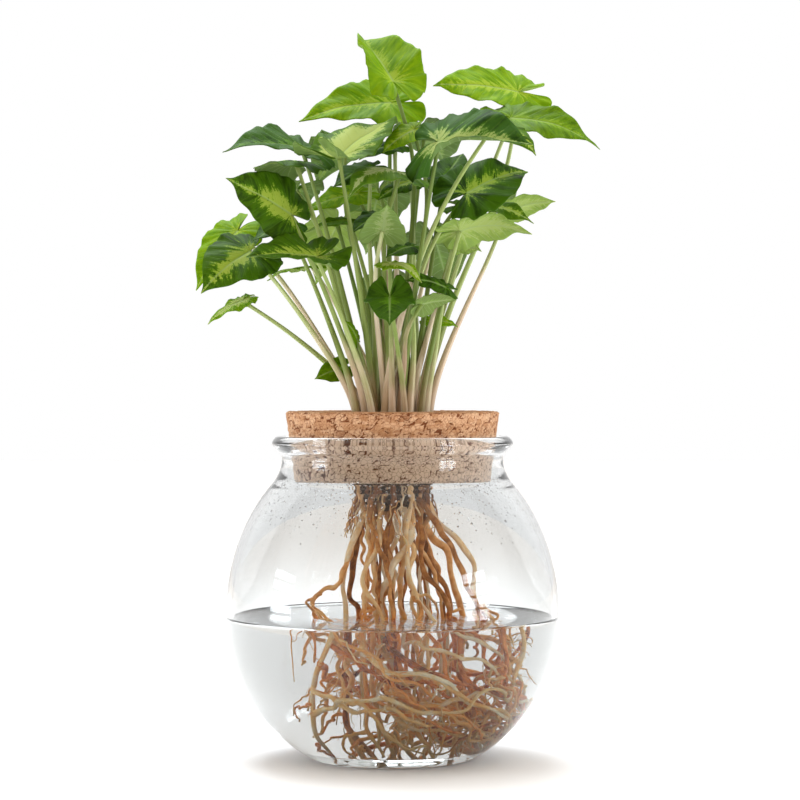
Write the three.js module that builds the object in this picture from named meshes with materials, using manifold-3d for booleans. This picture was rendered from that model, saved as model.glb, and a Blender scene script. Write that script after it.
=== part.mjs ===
// Syngonium grown in water, standing in a bulb vase of clear glass.
//
// Millimetres, +Z up. The origin is the middle of the vase's flat base, and the
// front of the plant looks along -Y.
//
// The glass holds water in its lower part. A cork ring sits in its neck, the
// rootstock fills the hole in the cork, the roots hang from it into the water,
// and every leaf stands on it with a petiole of its own.

import * as THREE from 'three';
import { mergeVertices } from 'three/addons/utils/BufferGeometryUtils.js';
import Module from 'manifold-3d';

const wasm = await Module();
wasm.setup();

// Driving dimensions

const GAP = 0.3;

const VASE = {
  segments: 32,
  radius: 69.9, // of the round bowl, at its middle
  middle: 61, // height of that middle
  rise: 78.5, // half height of the bowl's upper part, which is a little longer
  wall: 2.6,
  floor: 5,
  lip: 43.8, // inner radius of the neck and of the rim
};

// Outside of the neck and its rolled rim, radius and height
const NECK = [
  [49.2, 117], [46.9, 122], [46.6, 127], [49.0, 129.6], [50.6, 132.2], [48.8, 134.8], [45.6, 135.0],
];

const WATER = {
  level: 59,
  steps: 4, // from the floor up to its surface, in the glass too
  holeX: 8, // the tangle of roots lies a little to the right of the middle
  holeSquash: 0.9, // depth of its hole from front to back, as a share of the width
};

// Hole in the water that holds the tangle of roots, radius and height
const ROOT_HOLE = [[0, 7], [24, 7.4], [33, 11], [39, 20], [42, 34], [43, 60]];

const CORK = {
  segments: 32,
  bottom: 116.2,
  top: 145.6,
  bottomRadius: 41.3,
  topRadius: 44.9,
  hole: 18,
  chamfer: 0.7,
};

const CROWN = { segments: 16, top: 128 };

// Side of the rootstock, radius and height, from its underside up
const CROWN_SIDE = [[7, 104], [13.5, 107], [15.5, 113], [17.7, 119], [17.7, 125]];

const BLADE = {
  thickness: 1.0,
  steps: 7, // along each half of the outline
  fewSteps: 5, // on a blade shorter than small
  small: 28,
  rings: [0.5, 1], // from the petiole out to the edge
  softness: 0.02, // roundness of the fold at the midrib, as a share of the length
  waves: 5,
};

const PETIOLE = {
  sides: 5,
  steps: 5,
  spread: 15.4, // radius of the outermost petiole feet on the rootstock
  foot: 1.35, // radius at the rootstock
  tip: 0.9, // radius at the blade
  bow: 0.05, // how far a petiole bends upward of a straight line, as a share of its length
  clearances: [0.4, 0.12, 0], // kept from every other petiole and blade, the first that can be
  samples: 10, // places along each step where that is measured
  low: 180, // height below which a leaf counts as low
  sideSteps: [3, 6, 9], // how far it may bend aside to keep clear
};

const ROOT = {
  sides: 4,
  steps: 8,
  top: 1.4, // radius at the rootstock
  tip: 0.75,
  branchSides: 3,
  branchSteps: 3,
  firstBranch: 4, // step of a main root from which it branches
  branching: 0.75, // share of the steps that bear a branch
  thin: 0.7, // radius of a branch
  tangle: 8, // long thin roots that wind through the water
  tangleSteps: 8,
  margin: 1.2, // kept from the wall of their hole in the water
  seed: 48271,
};

// Main roots, each as points from the rootstock down: across, back and up
const MAIN_ROOTS = [
  [[-9, -5, 112], [-13, -7, 100], [-17, -9, 89], [-21, -10, 74], [-19, -9, 58], [-26, -8, 37], [-24, -4, 20], [-14, 2, 9]],
  [[-8, 3, 112], [-13, 5, 96], [-18, 6, 76], [-15, 6, 60], [-14, 4, 44], [-14, 0, 27], [-9, -6, 15], [-1, -12, 9]],
  [[-6, -8, 110], [-8, -10, 96], [-11, -12, 77], [-11, -13, 56], [-8, -14, 38], [-9, -18, 22], [-3, -22, 11]],
  [[-4, -10, 108], [-7, -14, 91], [-11, -16, 74], [-6, -16, 64], [-4, -12, 48], [-6, -6, 30], [3, -2, 11]],
  [[-1, -3, 106], [-1, -4, 79], [-4, -3, 66], [0, -2, 50], [4, 4, 30], [-3, 12, 12]],
  [[3, -8, 108], [7, -13, 98], [6, -14, 90], [-1, -12, 78], [-5, -9, 66], [-2, -8, 50], [4, -10, 36], [2, -16, 22]],
  [[1, 6, 106], [1, 8, 84], [0, 6, 54], [2, 10, 35], [7, 18, 18], [14, 20, 10]],
  [[5, -1, 106], [5, -2, 92], [3, -1, 66], [6, -4, 55], [9, -8, 40], [8, -14, 24], [15, -18, 11]],
  [[8, -9, 108], [8, -13, 92], [8, -14, 70], [11, -14, 54], [8, -16, 33]],
  [[10, -8, 108], [12, -11, 90], [15, -13, 78], [20, -14, 69], [24, -14, 57], [24, -18, 42], [28, -20, 26], [24, -16, 12]],
  [[10, 3, 108], [15, 5, 98], [22, 7, 84], [28, 8, 68], [31, 8, 58], [34, 10, 44], [36, 12, 28], [30, 12, 13]],
  [[9, -3, 106], [14, -5, 91], [18, -6, 80], [22, -6, 68], [24, -4, 56], [20, 2, 42], [22, 8, 28], [16, 10, 11]],
  [[11, -5, 112], [19, -8, 102], [28, -10, 89], [34, -11, 76], [38, -11, 66], [42, -10, 54], [42, -8, 40], [40, -4, 26], [34, 2, 14]],
  [[10, -9, 110], [19, -13, 98], [26, -16, 85], [31, -18, 74], [36, -18, 62], [39, -16, 48], [36, -18, 32], [30, -20, 16]],
  [[-17, -9, 89], [-21, -10, 76], [-28, -10, 71], [-33, -8, 65], [-31, -6, 57], [-22, -4, 53]],
  [[-3, 9, 108], [-7, 15, 90], [-12, 18, 70], [-10, 20, 52], [-14, 20, 34], [-8, 22, 17]],
  [[7, 9, 108], [12, 16, 90], [14, 20, 70], [18, 21, 52], [20, 24, 34], [26, 20, 16]],
];

// Half of a blade's outline, from its tip round the basal lobe to the sinus
// where the petiole joins it: along the midrib and across, as shares of the
// length from petiole to tip.
const OUTLINE = [
  [1.0, 0.0], [0.9, 0.045], [0.74, 0.17], [0.52, 0.3], [0.28, 0.385], [0.04, 0.4],
  [-0.17, 0.355], [-0.31, 0.245], [-0.35, 0.14], [-0.27, 0.065], [-0.05, 0.008],
];

// One row for each leaf. at is where the petiole meets the blade, tip is the
// blade's point, and face is the side that its upper surface turns to. A row
// names the rest only where its leaf differs from the plain one.
const PLAIN_LEAF = {
  width: 0.9,
  arch: 0.08, // rise of the midrib between petiole and tip
  fold: 10, // degrees that each half is lifted about the midrib
  curl: 0.15, // droop of the edges
  lobe: 0.2, // droop of the basal lobes
  twist: 0,
  wave: 0.02,
  foldFrom: -0.35, // where the fold sets in along the midrib, and where it is full
  foldTo: 0.25,
};

const LEAVES = [
  { at: [0, 0, 284], tip: [-15, 28, 307], face: [2.7, -5.2, 8], arch: 0.03, fold: 42, lobe: 0 },
  { at: [-1, 20, 277], tip: [-39, 12, 269], face: [0, -7, 7], width: 0.95, arch: 0.06, fold: 15, lobe: 0.1 },
  { at: [-22, -24, 250], tip: [4, 6, 269], face: [-4, -6, 8], width: 1, arch: 0.05, fold: 20, lobe: -0.7 },
  { at: [-38, 6, 256], tip: [-70, -12, 254], face: [0, -5, 8], width: 1, fold: 20 },
  { at: [-40, -10, 249], tip: [-57, -34, 245], face: [0, 2, 10], width: 1, arch: 0.05, fold: 0, curl: 0.4 },
  { at: [-42, -17, 227], tip: [-68, -34, 240], face: [-1, -9, 5], width: 1.15, arch: 0.05, fold: 12 },
  { at: [-66, 16, 222], tip: [-83, 5, 197], face: [-3, -7, 5], width: 0.95, arch: 0.06 },
  { at: [-59, -11, 212], tip: [-78, -30, 195], face: [-2, -10, 3], width: 1.15 },
  { at: [-44, 5, 224], tip: [-58, -8, 216], face: [0, -6, 8], width: 1 },
  { at: [-31, -27, 209], tip: [-59, -47, 207], face: [0, -6, 8], arch: 0.05, fold: 25, lobe: -0.3 },
  { at: [-34, 14, 207], tip: [-53, 8, 202], face: [0, 0, 10], arch: 0.05, fold: 0 },
  { at: [-63, 2, 192], tip: [-77, -3, 182], face: [-3, -5, 7], width: 0.7, fold: 0 },
  { at: [3, -16, 244], tip: [-18, -32, 234], face: [0, -4, 9], width: 1.1, arch: 0.2, fold: 0, lobe: 0.4 },
  { at: [-9, 2, 248], tip: [-25, -10, 238], face: [-1, -7, 7], fold: 0 },
  { at: [-15, 20, 238], tip: [-39, 14, 229], face: [0, -6, 8], width: 0.7 },
  { at: [-18, 13, 226], tip: [-37, 9, 221], face: [0, -3, 9], width: 0.7 },
  { at: [-5, -2, 227], tip: [-17, -14, 219], face: [0, -6, 8] },
  { at: [-4, -26, 220], tip: [-2, -44, 229], face: [0, 7, 7], width: 1.2, arch: 0.05, fold: -6, curl: 0.3 },
  { at: [8, -10, 214], tip: [-3, -22, 208], face: [0, -6, 8] },
  { at: [-1, -36, 192], tip: [-1, -56, 180], face: [0, -6, 7], width: 1.1, arch: 0.1, fold: 8, lobe: -0.5 },
  { at: [-1, -26, 206], tip: [12, -34, 199], face: [0, -3, 9], width: 0.8, arch: 0.15, fold: 0 },
  { at: [12, -25, 190], tip: [26, -18, 192], face: [0, 7, 6], arch: 0.05, fold: 0, curl: 0.3 },
  { at: [22, -12, 197], tip: [5, -20, 200], face: [0, -7, 7], width: 0.7, fold: 0 },
  { at: [16, 10, 184], tip: [28, 8, 181], face: [0, -5, 8], fold: 0 },
  { at: [31, -14, 236], tip: [58, 8, 248], face: [0, -7, 7], width: 1, arch: 0.05, fold: 15 },
  {
    at: [19, -28, 256], tip: [56, -50, 253], face: [0, -8, 6],
    width: 1.05, arch: 0.06, fold: 38, twist: 0.8, foldFrom: -0.1, foldTo: 0.5,
  },
  { at: [54, 33, 283], tip: [16, 17, 283], face: [0, -7, 7], width: 0.95, arch: 0.06, lobe: 0 },
  { at: [50, 6, 269], tip: [88, 2, 255], face: [1, -6, 8], width: 0.75, arch: 0.1, fold: 12 },
  { at: [43, -15, 265], tip: [59, -27, 250], face: [5, -6, 6], width: 0.8, arch: 0.1, fold: 0 },
  { at: [49, 22, 231], tip: [70, 20, 235], face: [0, 6, 7], fold: 0 },
  { at: [31, 8, 232], tip: [60, 2, 224], face: [0, -4, 9], width: 0.7, arch: 0.12, fold: 5 },
  { at: [28, -8, 221], tip: [58, -10, 219], face: [0, 5, 9], width: 1, arch: 0.14, fold: 0 },
  { at: [27, 12, 216], tip: [38, 10, 213], face: [0, 5, 8], width: 1.2, arch: 0.1, fold: 0 },
  { at: [-21, 5, 164], tip: [-33, 0, 159], face: [0, -9, 3], width: 1, arch: 0.05, fold: 0 },
  { at: [9, -6, 263], tip: [-4, -14, 252], face: [0, -6, 8], fold: 5 },
  { at: [1, 12, 258], tip: [-14, 6, 252], face: [0, -5, 8], fold: 5 },
  { at: [8, 14, 243], tip: [-6, 10, 235], face: [0, -6, 8], fold: 5 },
  { at: [22, 2, 243], tip: [30, 18, 255], face: [0, -7, 7], width: 1, arch: 0.05, fold: 5 },
  { at: [-15, -12, 176], tip: [-20, -17, 183], face: [3, -6, 5], width: 1, fold: 0 },
  { at: [-20, 34, 262], tip: [-34, 64, 246], face: [-1, 7, 8], width: 0.95 },
  { at: [14, 38, 268], tip: [24, 70, 252], face: [1, 7, 8], width: 0.95 },
  { at: [38, 33, 247], tip: [52, 60, 234], face: [3, 7, 8], width: 0.95 },
  { at: [-42, 28, 241], tip: [-58, 52, 224], face: [-3, 7, 8] },
  { at: [-6, 42, 242], tip: [-12, 68, 214], face: [0, 8, 7], width: 0.95 },
  { at: [18, 38, 220], tip: [25, 62, 196], face: [1, 8, 7], width: 0.95 },
  { at: [-24, 34, 226], tip: [-34, 60, 202], face: [-2, 8, 7], width: 0.95 },
  { at: [-2, 32, 200], tip: [-2, 52, 176], face: [0, 8, 7] },
].map((leaf) => ({ ...PLAIN_LEAF, ...leaf }));

// Colours and finishes

const FINISH = {
  glass: { color: '#dfe9e6', roughness: 0.05, metalness: 0, transparent: true, opacity: 0.25 },
  water: { color: '#dfe6df', roughness: 0.05, metalness: 0, transparent: true, opacity: 0.35 },
  cork: { color: '#cf9a72', roughness: 0.9, metalness: 0 },
  root: { color: '#a8713f', roughness: 0.7, metalness: 0 },
  leaf: { color: '#4f7d2a', roughness: 0.45, metalness: 0 },
};

const vector = (values) => new THREE.Vector3(...values);
const point2 = (values) => new THREE.Vector2(...values);

const curveThrough = (points) => new THREE.CatmullRomCurve3(points, false, 'catmullrom');

// A repeatable stream of numbers from 0 to 1.
function randomStream(seed) {
  let state = seed;
  return () => {
    state = (state * 16807) % 2147483647;
    return state / 2147483647;
  };
}

// Solids

// A closed three.js geometry as a solid that can be joined and cut.
function solidOf(geometry) {
  const bare = new THREE.BufferGeometry();
  bare.setAttribute('position', geometry.getAttribute('position'));
  if (geometry.index) bare.setIndex(geometry.index);
  const merged = mergeVertices(bare, 1e-4);
  return new wasm.Manifold(new wasm.Mesh({
    numProp: 3,
    vertProperties: new Float32Array(merged.getAttribute('position').array),
    triVerts: new Uint32Array(merged.index.array),
  }));
}

function geometryOf(solid) {
  const mesh = solid.getMesh();
  const geometry = new THREE.BufferGeometry();
  geometry.setAttribute('position', new THREE.BufferAttribute(mesh.vertProperties, 3));
  geometry.setIndex(new THREE.BufferAttribute(mesh.triVerts, 1));
  return geometry;
}

const joined = (solids) => solids.reduce((whole, solid) => whole.add(solid));

// A profile of radius and height turned about the Z axis. The profile runs
// upward on the outside, so that the faces point out.
function turned(profile, segments) {
  return new THREE.LatheGeometry(profile.map(point2), segments).rotateX(Math.PI / 2);
}

// A closed tube along a curve, whose radius follows radiusAt(0..1).
function tube(curve, radiusAt, sides, steps) {
  const frames = curve.computeFrenetFrames(steps);
  const positions = [];
  const index = [];
  for (let i = 0; i <= steps; i += 1) {
    const centre = curve.getPointAt(i / steps);
    for (let j = 0; j < sides; j += 1) {
      const angle = (2 * Math.PI * j) / sides;
      const corner = centre.clone()
        .addScaledVector(frames.normals[i], radiusAt(i / steps) * Math.cos(angle))
        .addScaledVector(frames.binormals[i], radiusAt(i / steps) * Math.sin(angle));
      positions.push(corner.x, corner.y, corner.z);
    }
  }
  for (let i = 0; i < steps; i += 1) {
    for (let j = 0; j < sides; j += 1) {
      const a = i * sides + j;
      const b = i * sides + ((j + 1) % sides);
      index.push(a, b, b + sides, a, b + sides, a + sides);
    }
  }
  const last = steps * sides;
  for (let j = 1; j < sides - 1; j += 1) {
    index.push(0, j + 1, j);
    index.push(last, last + j, last + j + 1);
  }
  const geometry = new THREE.BufferGeometry();
  geometry.setAttribute('position', new THREE.Float32BufferAttribute(positions, 3));
  geometry.setIndex(index);
  return geometry;
}

// Glass, water and cork

// Radius and height of the bowl at an angle from its middle, set in by inset.
function bowlPoint(angle, inset) {
  const half = Math.sin(angle) < 0 ? VASE.radius : VASE.rise;
  return [
    (VASE.radius - inset) * Math.cos(angle),
    VASE.middle + (half - inset) * Math.sin(angle),
  ];
}

// Angle on the bowl, set in by inset, that lies at a height.
function bowlAngle(height, inset) {
  const half = height < VASE.middle ? VASE.radius : VASE.rise;
  return Math.asin((height - VASE.middle) / (half - inset));
}

function bowlArc(fromHeight, toHeight, inset, steps) {
  const from = bowlAngle(fromHeight, inset);
  const to = bowlAngle(toHeight, inset);
  return Array.from({ length: steps + 1 }, (_, i) => bowlPoint(from + ((to - from) * i) / steps, inset));
}

function vaseGeometry() {
  const outside = bowlArc(0, 112, 0, 7);
  const wet = bowlArc(VASE.floor, WATER.level, VASE.wall, WATER.steps);
  const dry = bowlArc(WATER.level, 115, VASE.wall, 3).slice(1);
  const profile = [
    [0, 0], ...outside, ...NECK,
    [VASE.lip, 133.6], [VASE.lip, 121.5],
    ...dry.reverse(), ...wet.reverse(), [0, VASE.floor],
  ];
  return turned(profile, VASE.segments);
}

function waterGeometry() {
  const inset = VASE.wall + GAP;
  const side = bowlArc(VASE.floor + GAP, WATER.level, inset, WATER.steps);
  const body = turned([[0, VASE.floor + GAP], ...side, [0, WATER.level]], VASE.segments);
  const hole = turned([...ROOT_HOLE, [0, ROOT_HOLE.at(-1)[1]]], 24)
    .scale(1, WATER.holeSquash, 1)
    .translate(WATER.holeX, 0, 0);
  return geometryOf(solidOf(body).subtract(solidOf(hole)));
}

function corkGeometry() {
  const { bottom, top, bottomRadius, topRadius, hole, chamfer } = CORK;
  const profile = [
    [hole, bottom], [bottomRadius - chamfer, bottom], [bottomRadius, bottom + chamfer],
    [topRadius, top - chamfer], [topRadius - chamfer, top], [hole, top], [hole, bottom],
  ];
  return turned(profile, CORK.segments);
}

// Rootstock and roots

function holeRadius(height) {
  const above = ROOT_HOLE.findIndex(([, z]) => z > height);
  if (above < 0) return Infinity;
  const [r0, z0] = ROOT_HOLE[Math.max(above - 1, 0)];
  const [r1, z1] = ROOT_HOLE[above];
  return THREE.MathUtils.mapLinear(height, z0, z1, r0, r1);
}

// Moves a point of a root to where the hole in the water leaves room for it.
function keptInHole(point) {
  const height = Math.max(point.z, ROOT_HOLE[1][1] + ROOT.margin + ROOT.tip);
  const dx = point.x - WATER.holeX;
  const dy = point.y / WATER.holeSquash;
  const room = holeRadius(height) - ROOT.margin - ROOT.tip;
  const share = Math.min(1, room / Math.hypot(dx, dy));
  return new THREE.Vector3(WATER.holeX + dx * share, dy * share * WATER.holeSquash, height);
}

// Side roots leave the lower steps of a main root and droop as they run out.
function branchCurves(main, random) {
  const curves = [];
  for (let step = ROOT.firstBranch; step < ROOT.steps; step += 1) {
    const start = main.getPointAt(step / ROOT.steps);
    const turn = 2 * Math.PI * random();
    const reach = 7 + 9 * random();
    const drop = 5 + 12 * random();
    const points = [0, 0.5, 1].map((share) => new THREE.Vector3(
      start.x + reach * Math.sin(1.5 * share) * Math.cos(turn + 0.6 * share),
      start.y + reach * Math.sin(1.5 * share) * Math.sin(turn + 0.6 * share),
      start.z - drop * share * share,
    ));
    if (random() < ROOT.branching) curves.push(curveThrough([start, ...points.slice(1).map(keptInHole)]));
  }
  return curves;
}

// A long thin root that leaves a main root under water and winds round the
// middle of the hole on its way to the bottom.
function tangleCurve(main, random) {
  const start = main.getPointAt((random() < 0.5 ? 4 : 5) / ROOT.steps);
  const away = start.clone().sub(new THREE.Vector3(WATER.holeX, 0, 0));
  const turns = (random() < 0.5 ? -1 : 1) * (1.6 + 1.8 * random());
  const angle = Math.atan2(away.y, away.x);
  const bottom = 9 + 16 * random();
  const outward = 24 + 14 * random();
  const points = [start];
  for (let k = 1; k <= 5; k += 1) {
    const share = k / 5;
    const radius = THREE.MathUtils.lerp(Math.hypot(away.x, away.y), outward, Math.min(1, 2 * share));
    const height = THREE.MathUtils.lerp(start.z, bottom, share) + 5 * (random() - 0.5);
    points.push(keptInHole(new THREE.Vector3(
      WATER.holeX + radius * Math.cos(angle + turns * share),
      radius * Math.sin(angle + turns * share),
      height,
    )));
  }
  return curveThrough(points);
}

function rootsGeometry() {
  const random = randomStream(ROOT.seed);
  const crown = turned([[0, 104], ...CROWN_SIDE, [17.7, CROWN.top], [0, CROWN.top]], CROWN.segments);
  const solids = [solidOf(crown)];
  const mains = MAIN_ROOTS.map((points) => curveThrough(points.map((p) => keptInHole(vector(p)))));
  const thick = (share) => THREE.MathUtils.lerp(ROOT.top, ROOT.tip, share);
  const thin = (share) => ROOT.thin * (1 - 0.3 * share);
  for (const main of mains) {
    solids.push(solidOf(tube(main, thick, ROOT.sides, ROOT.steps)));
    for (const branch of branchCurves(main, random)) {
      solids.push(solidOf(tube(branch, thin, ROOT.branchSides, ROOT.branchSteps)));
    }
  }
  for (let k = 0; k < ROOT.tangle; k += 1) {
    const main = mains[(k * 5) % mains.length];
    solids.push(solidOf(tube(tangleCurve(main, random), thin, ROOT.branchSides, ROOT.tangleSteps)));
  }
  return geometryOf(joined(solids));
}

// Blades

// Height of a blade over the plane of its midrib, as a share of its length, at
// u along the midrib and v across it.
function bladeHeight(leaf, u, v, ring) {
  const along = THREE.MathUtils.clamp(u, 0, 1);
  const behind = THREE.MathUtils.clamp(-u, 0, 1);
  const crease = Math.sqrt(v * v + BLADE.softness ** 2) - BLADE.softness;
  return 4 * leaf.arch * along * (1 - along)
    - 2.4 * leaf.lobe * behind ** 1.5
    + Math.tan(THREE.MathUtils.degToRad(leaf.fold)) * crease
      * THREE.MathUtils.smoothstep(u, leaf.foldFrom, leaf.foldTo)
    - 3 * leaf.curl * v * v
    - leaf.twist * u * v
    + leaf.wave * ring ** 3 * Math.sin(BLADE.waves * Math.atan2(v, u) + leaf.at[0]);
}

// Outline of a blade, from one side of the sinus round the tip to the other.
function bladeOutline(steps) {
  const half = new THREE.SplineCurve(OUTLINE.map(point2)).getPoints(steps);
  const left = [...half].reverse().map((p) => new THREE.Vector2(p.x, -p.y));
  return [...left, ...half.slice(1)];
}

// Points of a blade in rings round the petiole's end, offset from its middle.
function bladePoints(leaf, outline, offset) {
  const at = vector(leaf.at);
  const along = vector(leaf.tip).sub(at);
  const length = along.length();
  along.normalize();
  const up = vector(leaf.face);
  up.addScaledVector(along, -up.dot(along)).normalize();
  const across = up.clone().cross(along);
  const place = (u, v, ring) => at.clone()
    .addScaledVector(along, u * length)
    .addScaledVector(across, v * length)
    .addScaledVector(up, bladeHeight(leaf, u, v, ring) * length + offset);
  const rings = BLADE.rings.flatMap((ring) => (
    outline.map((p) => place(p.x * ring, p.y * ring * leaf.width, ring))
  ));
  return [place(0, 0, 0), ...rings];
}

// Triangles of one side of a blade over those points.
function bladeFaces(count) {
  const corner = (ring, j) => 1 + ring * count + j;
  const faces = [];
  for (let j = 0; j < count - 1; j += 1) {
    faces.push([0, corner(0, j), corner(0, j + 1)]);
    for (let ring = 1; ring < BLADE.rings.length; ring += 1) {
      faces.push([corner(ring - 1, j), corner(ring, j), corner(ring, j + 1)]);
      faces.push([corner(ring - 1, j), corner(ring, j + 1), corner(ring - 1, j + 1)]);
    }
  }
  return faces;
}

// The walk round the rim of a blade, out along one side of the sinus and back
// along the other.
function bladeRim(count) {
  const last = BLADE.rings.length - 1;
  const out = BLADE.rings.map((_, ring) => 1 + ring * count);
  const round = Array.from({ length: count - 2 }, (_, j) => 1 + last * count + j + 1);
  const back = BLADE.rings.map((_, ring) => ring * count + count).reverse();
  return [0, ...out, ...round, ...back];
}

function bladeSteps(leaf) {
  return vector(leaf.at).distanceTo(vector(leaf.tip)) < BLADE.small ? BLADE.fewSteps : BLADE.steps;
}

function bladeGeometry(leaf) {
  const outline = bladeOutline(bladeSteps(leaf));
  const upper = bladePoints(leaf, outline, BLADE.thickness / 2);
  const lower = bladePoints(leaf, outline, -BLADE.thickness / 2);
  const under = upper.length;
  const index = [];
  for (const [a, b, c] of bladeFaces(outline.length)) {
    index.push(a, b, c);
    index.push(a + under, c + under, b + under);
  }
  const rim = bladeRim(outline.length);
  rim.forEach((a, k) => {
    const b = rim[(k + 1) % rim.length];
    index.push(a, a + under, b + under);
    index.push(a, b + under, b);
  });
  const geometry = new THREE.BufferGeometry().setFromPoints([...upper, ...lower]);
  geometry.setIndex(index);
  return geometry;
}

// Petioles

// Places of the petiole feet on the rootstock: a spiral that fills a disc
// evenly, as leaves are set round a growing stem.
function footPlaces(count) {
  const golden = Math.PI * (3 - Math.sqrt(5));
  return Array.from({ length: count }, (_, k) => {
    const radius = PETIOLE.spread * Math.sqrt((k + 0.5) / count);
    return new THREE.Vector2(radius * Math.cos(k * golden), radius * Math.sin(k * golden));
  });
}

// A petiole's line: straight up through the cork, then out to the blade. It may
// step aside low down and high up.
function petioleCurve(leaf, foot, asideLow, asideHigh) {
  const start = new THREE.Vector3(foot.x, foot.y, CROWN.top + GAP);
  const collar = new THREE.Vector3(foot.x * 1.04, foot.y * 1.04, CORK.top + 2);
  const end = vector(leaf.at).addScaledVector(vector(leaf.face).normalize(), -0.35);
  const bow = PETIOLE.bow * collar.distanceTo(end);
  const between = [[0.33, asideLow], [0.67, asideHigh]].map(([share, aside]) => collar.clone()
    .lerp(end, share)
    .add(new THREE.Vector3(aside.x, aside.y, bow * Math.sin(Math.PI * share))));
  return curveThrough([start, collar, ...between, end]);
}

const petioleRadius = (share) => THREE.MathUtils.lerp(PETIOLE.foot, PETIOLE.tip, share);

// A petiole as balls strung along its steps.
function petioleBalls(curve) {
  const stations = Array.from({ length: PETIOLE.steps + 1 }, (_, i) => curve.getPointAt(i / PETIOLE.steps));
  const balls = [];
  for (let k = 0; k <= PETIOLE.steps * PETIOLE.samples; k += 1) {
    const i = Math.min(Math.floor(k / PETIOLE.samples), PETIOLE.steps - 1);
    const centre = stations[i].clone().lerp(stations[i + 1], k / PETIOLE.samples - i);
    const share = k / (PETIOLE.steps * PETIOLE.samples);
    balls.push(new THREE.Sphere(centre, petioleRadius(share)));
  }
  return balls;
}

// A blade's middle as triangles, with the ball that holds them.
function bladeObstacle(leaf) {
  const outline = bladeOutline(bladeSteps(leaf));
  const points = bladePoints(leaf, outline, 0);
  return {
    leaf,
    around: new THREE.Sphere().setFromPoints(points),
    triangles: bladeFaces(outline.length)
      .map(([a, b, c]) => new THREE.Triangle(points[a], points[b], points[c])),
  };
}

// Whether a petiole keeps its distance from the petioles and blades around it.
function isClear(balls, petioles, blades, clearance) {
  const nearest = new THREE.Vector3();
  return balls.every(({ center, radius }) => {
    const reach = radius + clearance;
    const meets = (ball) => center.distanceToSquared(ball.center) < (reach + ball.radius) ** 2;
    if (petioles.some((other) => other.some(meets))) return false;
    const toBlade = reach + BLADE.thickness / 2;
    const touches = (t) => t.closestPointToPoint(center, nearest).distanceTo(center) < toBlade;
    return !blades.some((blade) => (
      blade.around.distanceToPoint(center) < toBlade && blade.triangles.some(touches)
    ));
  });
}

// The ways up that a petiole may take from the free feet, mildest first.
function waysUp(leaf, free, share) {
  const wanted = new THREE.Vector2(leaf.at[0], leaf.at[1]).setLength(share);
  const asides = [new THREE.Vector2()];
  for (const step of PETIOLE.sideSteps) {
    for (let k = 0; k < 8; k += 1) {
      asides.push(new THREE.Vector2(step, 0).rotateAround(asides[0], (k * Math.PI) / 4));
    }
  }
  const ways = free.flatMap((foot) => (
    asides.flatMap((low) => asides.map((high) => (
      { foot, low, high, cost: foot.distanceTo(wanted) + 0.5 * (low.length() + high.length()) }
    )))
  ));
  return ways.sort((a, b) => a.cost - b.cost);
}

// Finds a line for each petiole. The low leaves have the least room and choose
// first, then those that stand tall or reach far out. These take the outer feet.
function petioleCurves(leaves) {
  const reach = (leaf) => Math.hypot(leaf.at[0], leaf.at[1]) / (leaf.at[2] - CROWN.top);
  const furthest = Math.max(...leaves.map(reach));
  const obstacles = leaves.map(bladeObstacle);
  let free = footPlaces(leaves.length);
  const placed = [];
  const curves = new Map();
  const rank = (leaf) => (leaf.at[2] < PETIOLE.low ? 1000 : 0) + leaf.at[2] + 60 * reach(leaf);
  for (const leaf of [...leaves].sort((a, b) => rank(b) - rank(a))) {
    const share = Math.sqrt(reach(leaf) / furthest) * PETIOLE.spread;
    const ways = waysUp(leaf, free, share);
    const blades = obstacles.filter((blade) => blade.leaf !== leaf);
    const curveOf = (way) => petioleCurve(leaf, way.foot, way.low, way.high);
    let way;
    for (const clearance of PETIOLE.clearances) {
      way ??= ways.find((w) => isClear(petioleBalls(curveOf(w)), placed, blades, clearance));
    }
    const curve = curveOf(way);
    free = free.filter((foot) => foot !== way.foot);
    placed.push(petioleBalls(curve));
    curves.set(leaf, curve);
  }
  return curves;
}

function leafGeometry(leaf, curve) {
  const petiole = tube(curve, petioleRadius, PETIOLE.sides, PETIOLE.steps);
  return geometryOf(joined([solidOf(bladeGeometry(leaf)), solidOf(petiole)]));
}

// The whole object

const plant = new THREE.Group();

function addPart(name, geometry, finish) {
  const mesh = new THREE.Mesh(geometry, new THREE.MeshStandardMaterial(FINISH[finish]));
  mesh.name = name;
  plant.add(mesh);
}

addPart('vase', vaseGeometry(), 'glass');
addPart('water', waterGeometry(), 'water');
addPart('cork', corkGeometry(), 'cork');
addPart('roots', rootsGeometry(), 'root');
const petioles = petioleCurves(LEAVES);
LEAVES.forEach((leaf, i) => {
  addPart(`leaf_${String(i + 1).padStart(2, '0')}`, leafGeometry(leaf, petioles.get(leaf)), 'leaf');
});

export default plant;
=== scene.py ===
# %% [markdown]
# # A syngonium grown in water
#
# The object is a young arrowhead plant that stands in a round vase of clear
# glass. A cork ring sits in the vase's neck and holds the rootstock. The bare
# roots hang into the water, and the leaves stand above the cork on long
# petioles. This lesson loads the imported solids, then makes each piece again as
# a fine surface in the same place and gives it its material.

# %% Load the solids
import math

import bpy
import numpy as np
from mathutils import Matrix


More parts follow.
